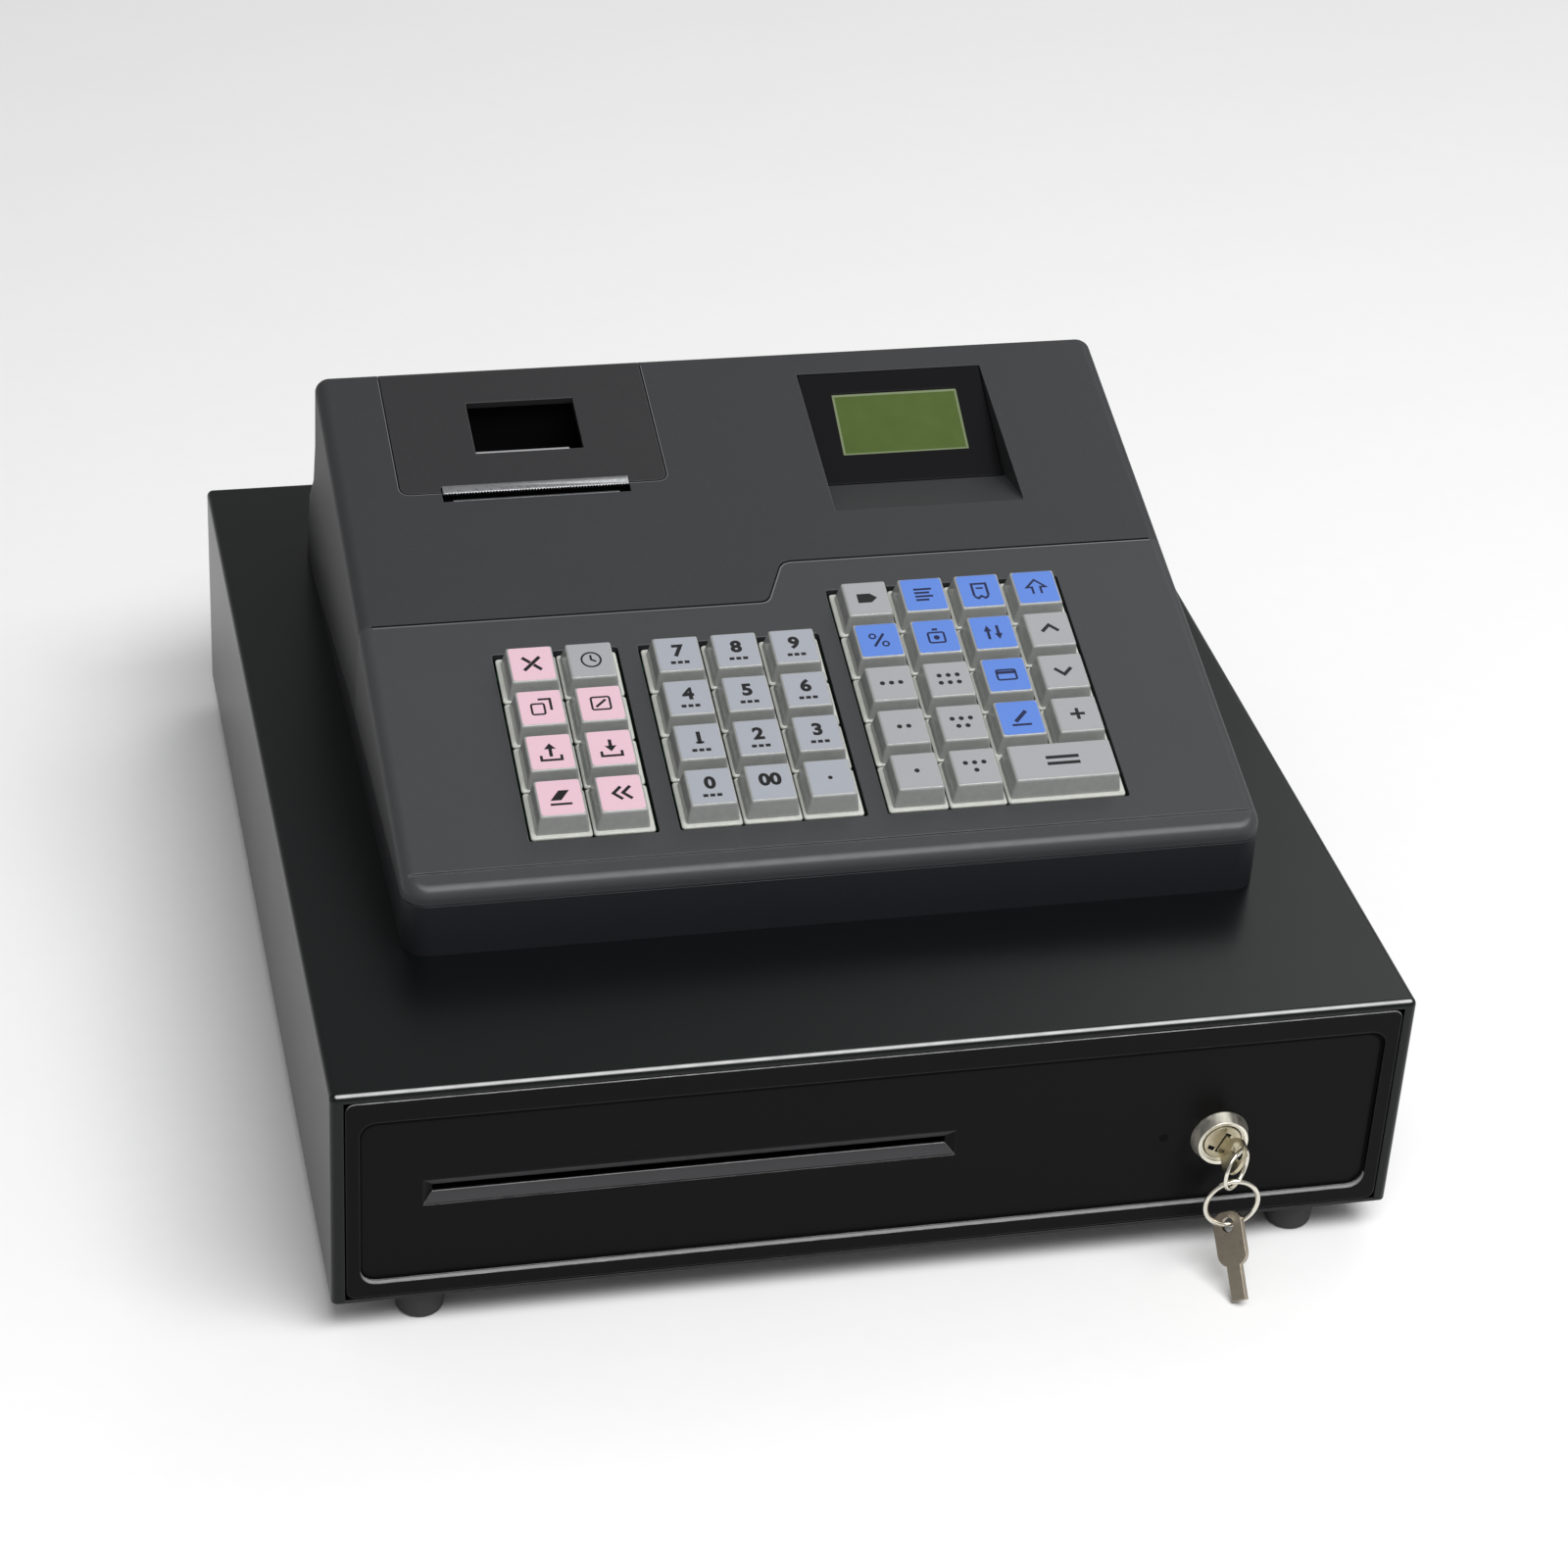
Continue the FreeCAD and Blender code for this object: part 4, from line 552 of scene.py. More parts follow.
@dataclass(frozen=True)
class Plated(Finish):
    """Bright or dull metal with drawn marks."""

    fineness: float = 900.0
    stretch: float = 0.06
    marks: float = 0.01
    tarnish: Colour = (0.25, 0.22, 0.17)
    dulled: float = 0.25

    def fill(self, wiring: Wiring, shader: bpy.types.Node) -> None:
        """Drawn marks and tarnished patches.

        Args:
            wiring: The material's wiring.
            shader: The material's shader.
        """
        drawn = self.group(wiring, Effect.LINES, Fineness=self.fineness, Stretch=self.stretch)
        skin = self.group(wiring, Effect.GRAIN, Fineness=700.0, Unevenness=0.5)
        patch = wiring.spread(skin.outputs["Tone"], -0.1, 0.5, end=self.dulled)
        wiring.join(wiring.blend(patch, self.colour, self.tarnish), shader.inputs["Base Color"])
        rough = wiring.sum_of("ADD", self.rough, drawn.outputs["Gloss"])
        rough = wiring.sum_of("ADD", rough, wiring.sum_of("MULTIPLY", patch, 0.3))
        wiring.join(rough, shader.inputs["Roughness"])
        shader.inputs["Metallic"].default_value = 1.0
        self.relief(wiring, shader, drawn.outputs["Height"], self.marks * MM)


@dataclass(frozen=True)
class ClearPlastic(Finish):
    """Clear moulded plastic that yellows a little, holds a few flow marks and has painted
    highlights on its edges.
    """

    through: float = 0.3
    index: float = 1.49
    flow: float = 0.02
    glint: float = 0.9
    rub: float = 0.6
    bright: Colour = (0.86, 0.86, 0.84)

    def fill(self, wiring: Wiring, shader: bpy.types.Node) -> None:
        """Let light through, ripple the surface a little and paint highlights on the edges.

        Args:
            wiring: The material's wiring.
            shader: The material's shader.
        """
        skin = self.group(wiring, Effect.GRAIN, Fineness=420.0, Unevenness=0.25)
        # The bright edges are painted highlights, strongest where they face the front light.
        worn_and_lit = self.group(wiring, Effect.WEAR, Radius=self.rub * MM, Amount=self.glint,
                            Handled=0.4)
        colour = self.tinted(wiring, skin.outputs["Tone"])
        rough = wiring.sum_of("ADD", self.rough, skin.outputs["Gloss"])
        wiring.feed(shader, Base_Color=wiring.blend(worn_and_lit.outputs["Mask"], colour, self.bright),
                    Roughness=rough, Transmission_Weight=self.through, IOR=self.index)
        self.relief(wiring, shader, skin.outputs["Height"], self.flow * MM)


@dataclass(frozen=True)
class Sheet(Finish):
    """A printed legend sheet under the cap's clear top."""

    rough: float = 0.4
    edge: float = 0.1
    coat: float = 0.25

    def fill(self, wiring: Wiring, shader: bpy.types.Node) -> None:
        """Paper tone under a glossy clear layer.

        Args:
            wiring: The material's wiring.
            shader: The material's shader.
        """
        skin = self.group(wiring, Effect.GRAIN, Fineness=1900.0, Unevenness=0.05)
        rough = wiring.sum_of("ADD", self.rough, skin.outputs["Gloss"])
        wiring.feed(shader, Base_Color=self.tinted(wiring, skin.outputs["Tone"]), Roughness=rough,
                    Coat_Weight=self.coat, Coat_Roughness=0.12)
        self.relief(wiring, shader, skin.outputs["Height"], 0.004 * MM)


@dataclass(frozen=True)
class CrystalPanel(Finish):
    """The display's liquid crystal glass: green film with faint cells."""

    pale: Colour = paint(92, 108, 64)
    pitch: float = 0.52

    def fill(self, wiring: Wiring, shader: bpy.types.Node) -> None:
        """Cells, a slow drift of the film's tone and a glossy front.

        Args:
            wiring: The material's wiring.
            shader: The material's shader.
        """
        place = wiring.node("TexCoord").outputs["Object"]
        cells = wiring.node("TexBrick", offset=0.0, squash=1.0)
        wiring.feed(cells, Vector=place, Scale=1.0 / (self.pitch * MM), Brick_Width=1.0,
                    Row_Height=1.0, Color1=WHITE, Color2=WHITE, Mortar_Size=0.06,
                    Mortar=(0.93, 0.93, 0.93, 1.0))
        skin = self.group(wiring, Effect.GRAIN, Fineness=130.0, Unevenness=0.22)
        base = wiring.blend(wiring.spread(skin.outputs["Tone"], -0.2, 0.25, end=0.2),
                            self.tinted(wiring, skin.outputs["Tone"]), self.pale)
        mixed = wiring.node("Mix", data_type="RGBA", blend_type="MULTIPLY")
        mixed.inputs["Factor"].default_value = 1.0
        for index, colour in zip(MIX_COLOURS, (base, cells.outputs["Color"])):
            wiring.join(colour, mixed.inputs[index])
        wiring.feed(shader, Base_Color=mixed.outputs[MIXED_COLOUR], Coat_Weight=0.12,
                    Coat_Roughness=0.15)


@dataclass(frozen=True)
class BoardLacquer(Finish):
    """Green lacquer over copper tracks."""

    track: Colour = paint(30, 92, 60)

    def fill(self, wiring: Wiring, shader: bpy.types.Node) -> None:
        """Tracks under the lacquer, as stepped cells.

        Args:
            wiring: The material's wiring.
            shader: The material's shader.
        """
        place = wiring.node("TexCoord").outputs["Object"]
        cells = wiring.node("TexVoronoi", distance="CHEBYCHEV")
        wiring.feed(cells, Vector=place, Scale=420.0)
        lane = wiring.spread(cells.outputs["Distance"], 0.3, 0.36)
        wiring.join(wiring.blend(lane, self.track, self.colour), shader.inputs["Base Color"])
        self.relief(wiring, shader, lane, 0.03 * MM)
        shader.inputs["Coat Weight"].default_value = 0.4


@dataclass(frozen=True)
class Trim(Skin):
    """Thin trim that nothing rubs and that holds no dust; most of it is strips of painted shade and
    painted highlight.
    """

    edge: float = 0.0
    wear: float = 0.0
    dust: float = 0.0


# On the keyboard cover the pale edge lines are partly wear and partly painted highlight, and the
# brow that faces the front light has a painted highlight.
HOUSING = Skin("housing_grey", paint(56, 57, 59), rough=0.52, specular=0.36, wear=0.5,
               worn=(0.2, 0.2, 0.205), handled=0.0, crest=0.45, edge=0.5)
# The rear cover is the same plastic as the keyboard cover; its darker copy of the colour is painted
# shade.
REAR_HOUSING_SHADED = Skin("rear_housing_painted_shade", paint(47, 48, 50), rough=0.52, specular=0.32, wear=0.5,
                    handled=0.0, edge=0.5)
LID_GREY = Skin("lid_grey", paint(40, 40, 42), rough=0.5, specular=0.3, wear=0.5, handled=0.0,
                edge=0.5)
BASE_BLACK = Skin("base_black", paint(31, 32, 36), rough=0.42, specular=0.35, wear=0.2,
                  dust=0.01, edge=0.5)
# On the case and the drawer's front the pale edge colour, kept to edges and bends that face the
# front light, is painted highlight: the hem line along the case's top and the lines round the
# recess and the slot.
CASE_PAINT = Skin("case_paint", paint(9, 12, 13), rough=0.3, specular=0.24, fineness=1500.0,
                  grain=0.01, uneven=0.05, wear=0.7, worn=(0.62, 0.62, 0.62), handled=1.0,
                  crest=0.85, dust=0.0, edge=0.9)
FRONT_PAINT = Skin("front_paint", paint(4, 4, 5), rough=0.28, specular=0.1, fineness=1800.0,
                   grain=0.006, uneven=0.05, wear=0.95, worn=(0.75, 0.75, 0.75), handled=1.0,
                   rub=0.6, crest=0.45, dust=0.0, edge=0.8)
PAN_PAINT = PaintedToHeight("pan_paint", paint(9, 10, 11), rough=0.36, specular=0.3,
                            fineness=1500.0, wear=0.3)
TUB_PAINT = Skin("tub_paint", paint(38, 39, 40), rough=0.45, specular=0.4, fineness=1400.0,
                 wear=0.3)
FOOT_RUBBER = Skin("foot_rubber", paint(18, 18, 17), rough=0.6, specular=0.3, fineness=900.0,
                   grain=0.05, wear=0.15, dust=0.0)
TRAY_PLASTIC = Skin("tray_plastic", paint(26, 27, 29), rough=0.42, fineness=1200.0, grain=0.04)
INNER_BLACK = Skin("mechanism_black", paint(14, 14, 15), rough=0.6, specular=0.3, wear=0.1,
                   dust=0.0)
PLATEN_RUBBER = Skin("platen_rubber", paint(20, 20, 21), rough=0.75, specular=0.3,
                     fineness=1500.0, dust=0.0)
MASK_BLACK = Skin("mask_black", paint(19, 19, 21), rough=0.3, specular=0.1, fineness=400.0,
                  grain=0.002, uneven=0.04, wear=0.05, dust=0.0, edge=0.25)
# Pale grey of the window's lip: a painted highlight.
WINDOW_LIP_HIGHLIGHT = Skin("painted_window_lip_highlight", paint(150, 151, 153), rough=0.35, specular=0.6, wear=0.4,
                worn=(0.6, 0.6, 0.6), dust=0.0)
SOCKET_BLACK = Skin("socket_black", paint(18, 18, 19), rough=0.4, wear=0.15, dust=0.0)

# A painted highlight along the lower edge of the drawer's sunk panel.
LEDGE_HIGHLIGHT = Trim("painted_ledge_highlight", paint(156, 156, 156), rough=0.28, specular=0.6)
# Painted light on the note slot's bevels: the lower slope lit, the upper a painted reflection.
BEVEL_LIT = Trim("slot_bevel_lit", paint(54, 54, 56), rough=0.3)
BEVEL_DIM = Trim("slot_bevel_dim", paint(60, 60, 62), rough=0.3, specular=0.3)
# A painted highlight on the near edge of the covers' parting groove and beside the lid.
GROOVE_HIGHLIGHT = Trim("painted_groove_highlight", paint(104, 105, 107), rough=0.4)
# Flat black, mostly painted shade: in the parting groove, round the lid and the drawer's sunk
# panel, in the screws' recesses and on the lock's keyway and notch; on the lock's dimple it is the
# panel's plain black.
FLAT_BLACK_SHADE = Trim("flat_black_and_painted_shade", paint(6, 6, 7), rough=0.8, specular=0.1)
PANEL_RIM = Trim("panel_rim", paint(112, 124, 92), rough=0.3, edge=0.1)
INK = Trim("legend_ink", paint(10, 10, 14), rough=0.4, specular=0.4, uneven=0.02)
INK_BLUE = Trim("legend_ink_blue", paint(10, 22, 66), rough=0.4, specular=0.4, uneven=0.02)
FLOOR = Trim("studio_floor", paint(246, 246, 246), rough=0.7, specular=0.1, fineness=120.0,
             grain=0.02, uneven=0.02)

NICKEL = Plated("lock_nickel", paint(244, 240, 226), rough=0.34, marks=0.0015,
                tarnish=paint(176, 164, 132), dulled=0.1)
PLUG_NICKEL = Plated("plug_nickel", paint(204, 196, 170), rough=0.3, marks=0.012,
                     tarnish=paint(128, 112, 84), dulled=0.5)
RING_STEEL = Plated("ring_steel", paint(226, 222, 210), rough=0.14, marks=0.004,
                    tarnish=paint(150, 142, 122))
KEY_STEEL = Plated("key_steel", paint(176, 166, 150), rough=0.3, marks=0.014,
                   fineness=1400.0, tarnish=paint(120, 108, 92), dulled=0.4)
TEAR_STEEL = Plated("tear_steel", paint(170, 171, 173), rough=0.3, tarnish=paint(120, 121, 124))
GUIDE_STEEL = Plated("guide_steel", paint(92, 93, 95), rough=0.4, tarnish=paint(50, 50, 52),
                     dulled=0.7)
ZINC = Plated("zinc_steel", paint(178, 180, 182), rough=0.38, marks=0.02, fineness=260.0,
              stretch=0.5, tarnish=paint(118, 120, 124), dulled=0.5)
SPRING_STEEL = Plated("clip_steel", paint(178, 177, 172), rough=0.4, marks=0.0015, dulled=0.1)
CONTACT_GOLD = Plated("contact_gold", paint(212, 175, 96), rough=0.25, marks=0.004)
SCREW_BLACK = Plated("screw_black", paint(48, 48, 50), rough=0.42, tarnish=paint(30, 30, 31))

# The caps' bright edges are painted highlights.
CAP_CLEAR = ClearPlastic("cap_clear", paint(180, 182, 180), rough=0.16, specular=0.8, edge=0.6)
# The flanges' near-white is partly their milky clear plastic and partly a painted highlight along
# the keys' feet.
FLANGE_CLEAR_HIGHLIGHT = ClearPlastic("flange_clear_and_highlight", paint(222, 224, 216), rough=0.1, specular=0.9,
                            edge=0.3, flow=0.05)
PANEL_GREEN = CrystalPanel("panel_green", paint(74, 92, 42), rough=0.4, specular=0.1, edge=0.0)
BOARD_GREEN = BoardLacquer("board_green", paint(18, 66, 42), rough=0.35, edge=0.2)


class Hue(Enum):
    """Colours of the legend sheets."""

    PINK = Sheet("sheet_pink", paint(216, 180, 193))
    BLUE = Sheet("sheet_blue", paint(84, 124, 204))
    GREY = Sheet("sheet_grey", paint(154, 155, 158))
    COOL = Sheet("sheet_cool_grey", paint(154, 158, 166))


# Mesh work

# The corners of a line reach out by its half width over the cosine of half their turn, and by
# no more than its half width over this.
MITRE_LIMIT = 0.4
# Edges that turn more than this stay sharp.
SHARP_ANGLE = math.radians(32.0)
# Figures of size 1: how much their strokes are thickened, how tall they are, and how much wider
# they are drawn than the font has them.
FIGURE_WEIGHT = 0.045
FIGURE_TALL = 0.73
FIGURE_WIDEN = 1.05


def circle(radius: float, count: int = 32, centre: Point = (0.0, 0.0)) -> Outline:
    """A round outline.

    Args:
        radius: Its radius in millimetres.
        count: How many points it has.
        centre: Where its middle is.

    Returns:
        The outline's points.
    """
    turns = [math.tau * index / count for index in range(count)]
    return [(centre[0] + radius * math.cos(turn), centre[1] + radius * math.sin(turn))
            for turn in turns]


def rounded(low: Point, high: Point, corner: float, steps: int = 4, inset: float = 0.0
            ) -> Outline:
    """A rectangle with round corners.

    Args:
        low: Its lower left corner.
        high: Its upper right corner.
        corner: The corners' radius.
        steps: Pieces in each corner's arc.
        inset: How far each side is moved inwards first.

    Returns:
        The outline's points, the same number for each size.
    """
    left, foot = low[0] + inset + corner, low[1] + inset + corner
    right, top = high[0] - inset - corner, high[1] - inset - corner
    points = []
    for quarter, (across, along) in enumerate(((right, top), (left, top), (left, foot),
                                               (right, foot))):
        for step in range(steps + 1):
            turn = math.pi / 2 * (quarter + step / steps)
            points.append((across + corner * math.cos(turn), along + corner * math.sin(turn)))
    return points


def level(outline: Outline, height: float) -> Loop:
    """Lift a flat outline to a height."""
    return [Vector((across, along, height)) for across, along in outline]


def ribbon(points: Outline, width: float) -> Outline:
    """The outline of a line with a width, its corners mitred.

    Args:
        points: The middle line.
        width: How wide it is.

    Returns:
        The outline round the line.
    """
    left: Outline = []
    right: Outline = []
    for index, (across, along) in enumerate(points):
        before = Vector(points[max(index - 1, 0)])
        after = Vector(points[min(index + 1, len(points) - 1)])
        here = Vector((across, along))
        runs = [run.normalized() for run in (here - before, after - here) if run.length > 0]
        normals = [Vector((-run.y, run.x)) for run in runs]
        mean = sum(normals, Vector((0.0, 0.0))).normalized()
        reach = width / 2 / max(mean.dot(normals[0]), MITRE_LIMIT)
        left.append((across + mean.x * reach, along + mean.y * reach))
        right.append((across - mean.x * reach, along - mean.y * reach))
    return right + left[::-1]


class Piece:
    """A mesh that is skinned from outlines, in millimetres, and becomes one object."""

    def __init__(self, name: str, finishes: Sequence[Finish], place: Matrix) -> None:
        """Start an empty piece.

        Args:
            name: The object's name.
            finishes: Its finishes, in the order of their slots.
            place: Where its own millimetre space stands in the shared frame.
        """
        self.name = name
        self.finishes = finishes
        self.place = place
        self.mesh = bmesh.new()

    def skin(self, loops: Sequence[Loop], hollow: bool = False, slot: int = 0) -> None:
        """Skin a row of outlines that have the same number of points.

        Args:
            loops: The outlines, from one end to the other.
            hollow: Join the last outline to the first, as for a frame, instead of closing the ends.
            slot: Which finish the faces take.
        """
        rows = [[self.mesh.verts.new(point) for point in loop] for loop in loops]
        pairs = list(zip(rows, rows[1:]))
        if hollow:
            pairs.append((rows[-1], rows[0]))
        faces = []
        for low, high in pairs:
            for index, vertex in enumerate(low):
                after = (index + 1) % len(low)
                faces.append(self.mesh.faces.new((vertex, low[after], high[after], high[index])))
        if not hollow:
            faces.append(self.mesh.faces.new(rows[0][::-1]))
            faces.append(self.mesh.faces.new(rows[-1]))
        for face in faces:
            face.material_index = slot

    def slab(self, outline: Outline, low: float, high: float, slot: int = 0) -> None:
        """A flat piece with an outline, from one height to another."""
        self.skin([level(outline, low), level(outline, high)], slot=slot)

    def band(self, outer: Outline, inner: Outline, low: float, high: float, slot: int = 0) -> None:
        """The flat band between two outlines that have the same number of points.

        Args:
            outer: The outline outside.
            inner: The outline inside.
            low: The height of the underside.
            high: The height of the top.
            slot: Which finish the faces take.
        """
        loops = [level(outer, low), level(outer, high), level(inner, high), level(inner, low)]
        self.skin(loops, hollow=True, slot=slot)

    def strip(self, profile: Outline, left: float, right: float) -> None:
        """A straight strip from left to right, with the profile that its ends have."""
        self.skin([[Vector((across, *point)) for point in profile] for across in (left, right)])

    def text(self, words: str, height: float, centre: Point, low: float, high: float,
             slot: int = 0) -> None:
        """Plain figures cut from a sheet.

        Args:
            words: What to write.
            height: How tall a figure is.
            centre: Where the middle of the words is.
            low: The height of the underside.
            high: The height of the top.
            slot: Which finish the faces take.
        """
        curve = bpy.data.curves.new("figures", "FONT")
        curve.body = words
        curve.align_x = "CENTER"
        curve.size = 1.0
        curve.offset = FIGURE_WEIGHT
        # Both ways from the middle, so the figures are 1 thick before they are sized.
        curve.extrude = 0.5
        curve.resolution_u = 4
        source = bpy.data.objects.new("figures", curve)
        flat = bpy.data.meshes.new_from_object(source)
        grow = height / FIGURE_TALL
        sizing = Matrix.Translation((centre[0], centre[1] - height / 2, (low + high) / 2))
        sizing @= Matrix.Diagonal((grow * FIGURE_WIDEN, grow, high - low, 1.0))
        flat.transform(sizing)
        known = set(self.mesh.faces)
        self.mesh.from_mesh(flat)
        for face in self.mesh.faces:
            if face not in known:
                face.material_index = slot
        bpy.data.objects.remove(source)
        bpy.data.curves.remove(curve)
        bpy.data.meshes.remove(flat)

    def finish(self, body: str, slot: str = "") -> bpy.types.Object:
        """Turn the piece into an object that rides on a body.

        Args:
            body: The body that carries it.
            slot: The record's material slot; not used.

        Returns:
            The object.
        """
        bmesh.ops.recalc_face_normals(self.mesh, faces=self.mesh.faces)
        bmesh.ops.transform(self.mesh, matrix=Matrix.Scale(MM, 4) @ self.place,
                            verts=self.mesh.verts)
        data = bpy.data.meshes.new(self.name)
        self.mesh.to_mesh(data)
        self.mesh.free()
        data.shade_smooth()
        data.set_sharp_from_angle(angle=SHARP_ANGLE)
        for finish in self.finishes:
            data.materials.append(finish.material())
        made = bpy.data.objects.new(self.name, data)
        bpy.context.scene.collection.objects.link(made)
        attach(made, body)
        log.info("%s rides on %s", self.name, body)
        return made


@dataclass(frozen=True)
class Slope:
    """A plane that climbs to the rear: places on it are across, along and above it."""

    start_y: float
    start_z: float
    angle: float

    def place(self, across: float = 0.0, along: float = 0.0, above: float = 0.0) -> Matrix:
        """A space that stands square on the slope.

        Args:
            across: Millimetres to the right.
            along: Millimetres up the slope.
            above: Millimetres off the slope.

        Returns:
            The space's matrix in millimetres.
        """
        slope = Matrix.Translation((0.0, self.start_y, self.start_z))
        slope @= Matrix.Rotation(math.radians(self.angle), 4, "X")
        return slope @ Matrix.Translation((across, along, above))

    def extent(self, node: str) -> tuple[Vector, Vector]:
        """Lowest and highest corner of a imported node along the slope.

        Args:
            node: The node's name.

        Returns:
            The two corners in millimetres.
        """
        back = self.place().inverted() @ Matrix.Scale(1 / MM, 4)
        spots = [back @ vertex.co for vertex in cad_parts[node].data.vertices]
        low, high = (Vector([pick(spot[axis] for spot in spots) for axis in range(3)])
                     for pick in (min, max))
        return low, high


DECK = Slope(start_y=-95.355, start_z=115.5, angle=14.97)
GLASS = Slope(start_y=69.069, start_z=149.010, angle=27.54)
FRONT_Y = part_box("case_shell")[0].y / MM
REAR_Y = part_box("case_shell")[1].y / MM


def facing_front(across: float, depth: float, height: float) -> Matrix:
    """A space whose own up points to the front of the drawer.

    Args:
        across: Millimetres to the right.
        depth: Millimetres from the front to the rear.
        height: Millimetres above the floor.

    Returns:
        The space's matrix in millimetres.
    """
    return Matrix.Translation((across, depth, height)) @ Matrix.Rotation(math.pi / 2, 4, "X")


def facing_rear(across: float, depth: float, height: float) -> Matrix:
    """A space whose own up points to the rear, as facing_front does to the front."""
    turned = Matrix.Rotation(math.pi, 4, "Z") @ Matrix.Rotation(math.pi / 2, 4, "X")
    return Matrix.Translation((across, depth, height)) @ turned


def dress(finishes: Mapping[str, Finish]) -> None:
    """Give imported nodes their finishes.

    Args:
        finishes: The finish of each node, by the node's name.
    """
    for name, finish in finishes.items():
        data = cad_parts[name].data
        data.materials.clear()
        data.materials.append(finish.material())
        log.info("%s is dressed in %s", name, finish.name)


# Keyboard


@dataclass
class Marks:
    """Draws the legends of one key, in millimetres from the middle of its sheet."""

    piece: Piece
    low: float
    high: float
    bold: float = 1.2
    dot_points: int = 20
    box_width: float = 0.7
    box_corner: float = 1.0

    def fill(self, outline: Outline) -> None:
        """A filled shape."""
        self.piece.slab(outline, self.low, self.high, slot=1)

    def line(self, points: Outline, width: float = 0.75) -> None:
        """A bold line along points."""
        self.fill(ribbon(points, width * self.bold))

    def dot(self, across: float, along: float, radius: float) -> None:
        """A round dot."""
        self.fill(circle(radius, self.dot_points, (across, along)))

    def ring(self, outer: Outline, inner: Outline) -> None:
        """The band between two outlines with the same number of points."""
        self.piece.band(outer, inner, self.low, self.high, slot=1)

    def box(self, half_width: float, half_length: float, centre: Point = (0.0, 0.0)) -> None:
        """A frame with round corners.

        Args:
            half_width: Half its width outside.
            half_length: Half its length outside.
            centre: Where its middle is.
        """
        low = centre[0] - half_width, centre[1] - half_length
        high = centre[0] + half_width, centre[1] + half_length
        outer, inner = (rounded(low, high, self.box_corner - inset, inset=inset)
                        for inset in (0.0, self.box_width))
        self.ring(outer, inner)

    def words(self, text: str, height: float, along: float) -> None:
        """Plain figures."""
        self.piece.text(text, height, (0.0, along), self.low, self.high, slot=1)


def draw_figures(text: str) -> Callable[[Marks], None]:
    """The figures of a number key, over three short bars where it has only one.

    Args:
        text: The figures or the point.

    Returns:
        The function that draws them.
    """

    def draw(marks: Marks) -> None:
        """Draw them.

        Args:
            marks: The key's sheet.
        """
        if text == ".":
            marks.dot(0.0, -0.2, 0.75)
            return
        marks.words(text, 4.9, 1.6 if len(text) == 1 else 1.2)
        if text == "1":
            marks.line([(-1.2, -0.6), (1.35, -0.6)], 0.7)
        if len(text) == 1:
            for across in (-2.2, 0.0, 2.2):
                marks.line([(across - 0.8, -3.8), (across + 0.8, -3.8)], 1.0)

    return draw


def draw_tally(count: int) -> Callable[[Marks], None]:
    """Dots that count a goods group.

    Args:
        count: The group's number.

    Returns:
        The function that draws them.
    """

    def draw(marks: Marks) -> None:
        """Draw them in one row, or in two where there are more than three.

        Args:
            marks: The key's sheet.
        """
        gap_across, gap_along, radius = 3.0, 3.2, 0.85
        rows = (min(count, 3), max(count - 3, 0))
        for row, number in enumerate(rows):
            along = gap_along / 2 - gap_along * row if rows[1] else 0.0
            for index in range(number):
                marks.dot((index - (number - 1) / 2) * gap_across, along, radius)

    return draw


def draw_cross(marks: Marks) -> None:
    """A cross.

    Args:
        marks: The key's sheet.
    """
    marks.line([(-2.8, -2.8), (2.8, 2.8)], 1.0)
    marks.line([(-2.8, 2.8), (-0.5, 0.5)], 1.0)
    marks.line([(0.5, -0.5), (2.8, -2.8)], 1.0)


def draw_clock(marks: Marks) -> None:
    """A clock's face."""
    marks.ring(circle(3.4), circle(2.75))
    marks.line([(0.0, 2.0), (0.0, 0.0), (1.5, -0.9)], 0.6)


def draw_copies(marks: Marks) -> None:
    """Two sheets, one behind the other."""
    marks.box(2.4, 2.6, centre=(-1.0, -0.7))
    marks.line([(-0.6, 3.4), (3.2, 3.4), (3.2, -1.4)], 0.7)


def draw_struck(marks: Marks) -> None:
    """A struck frame."""
    marks.box(3.3, 3.0)
    marks.line([(-1.7, -1.5), (1.7, 1.5)], 0.7)


def draw_out(marks: Marks) -> None:
    """An arrow up out of a tray.

    Args:
        marks: The key's sheet.
    """
    marks.line([(-3.2, -1.4), (-3.2, -3.4), (3.2, -3.4), (3.2, -1.4)])
    marks.line([(0.0, -2.0), (0.0, 1.4)], 0.9)
    marks.fill([(-1.9, 1.2), (1.9, 1.2), (0.0, 3.6)])


def draw_in(marks: Marks) -> None:
    """An arrow down into a tray.

    Args:
        marks: The key's sheet.
    """
    marks.line([(-3.2, -1.4), (-3.2, -3.4), (3.2, -3.4), (3.2, -1.4)])
    marks.line([(0.0, 3.4), (0.0, 0.6)], 0.9)
    marks.fill([(-1.9, 0.8), (0.0, -1.6), (1.9, 0.8)])


def draw_wipe(marks: Marks) -> None:
    """A slanting block over a rule."""
    marks.fill([(-3.2, -1.2), (0.2, -1.2), (3.2, 2.8), (-0.2, 2.8)])
    marks.line([(-3.4, -2.8), (3.4, -2.8)])


def draw_back(marks: Marks) -> None:
    """Two chevrons to the left."""
    for shift in (-0.4, 2.6):
        marks.line([(shift + 0.6, -2.6), (shift - 2.0, 0.0), (shift + 0.6, 2.6)], 0.9)


def draw_tag(marks: Marks) -> None:
    """A goods tag with its hole."""
    marks.fill([(-3.2, -2.0), (1.2, -2.0), (3.4, 0.0), (1.2, 2.0), (-3.2, 2.0)])


def draw_rows(marks: Marks) -> None:
    """Rows of a strip."""
    for along, reach in ((2.4, 3.0), (0.8, 2.0), (-0.8, 3.0), (-2.4, 1.4)):
        marks.line([(-3.0, along), (reach, along)], 0.75)


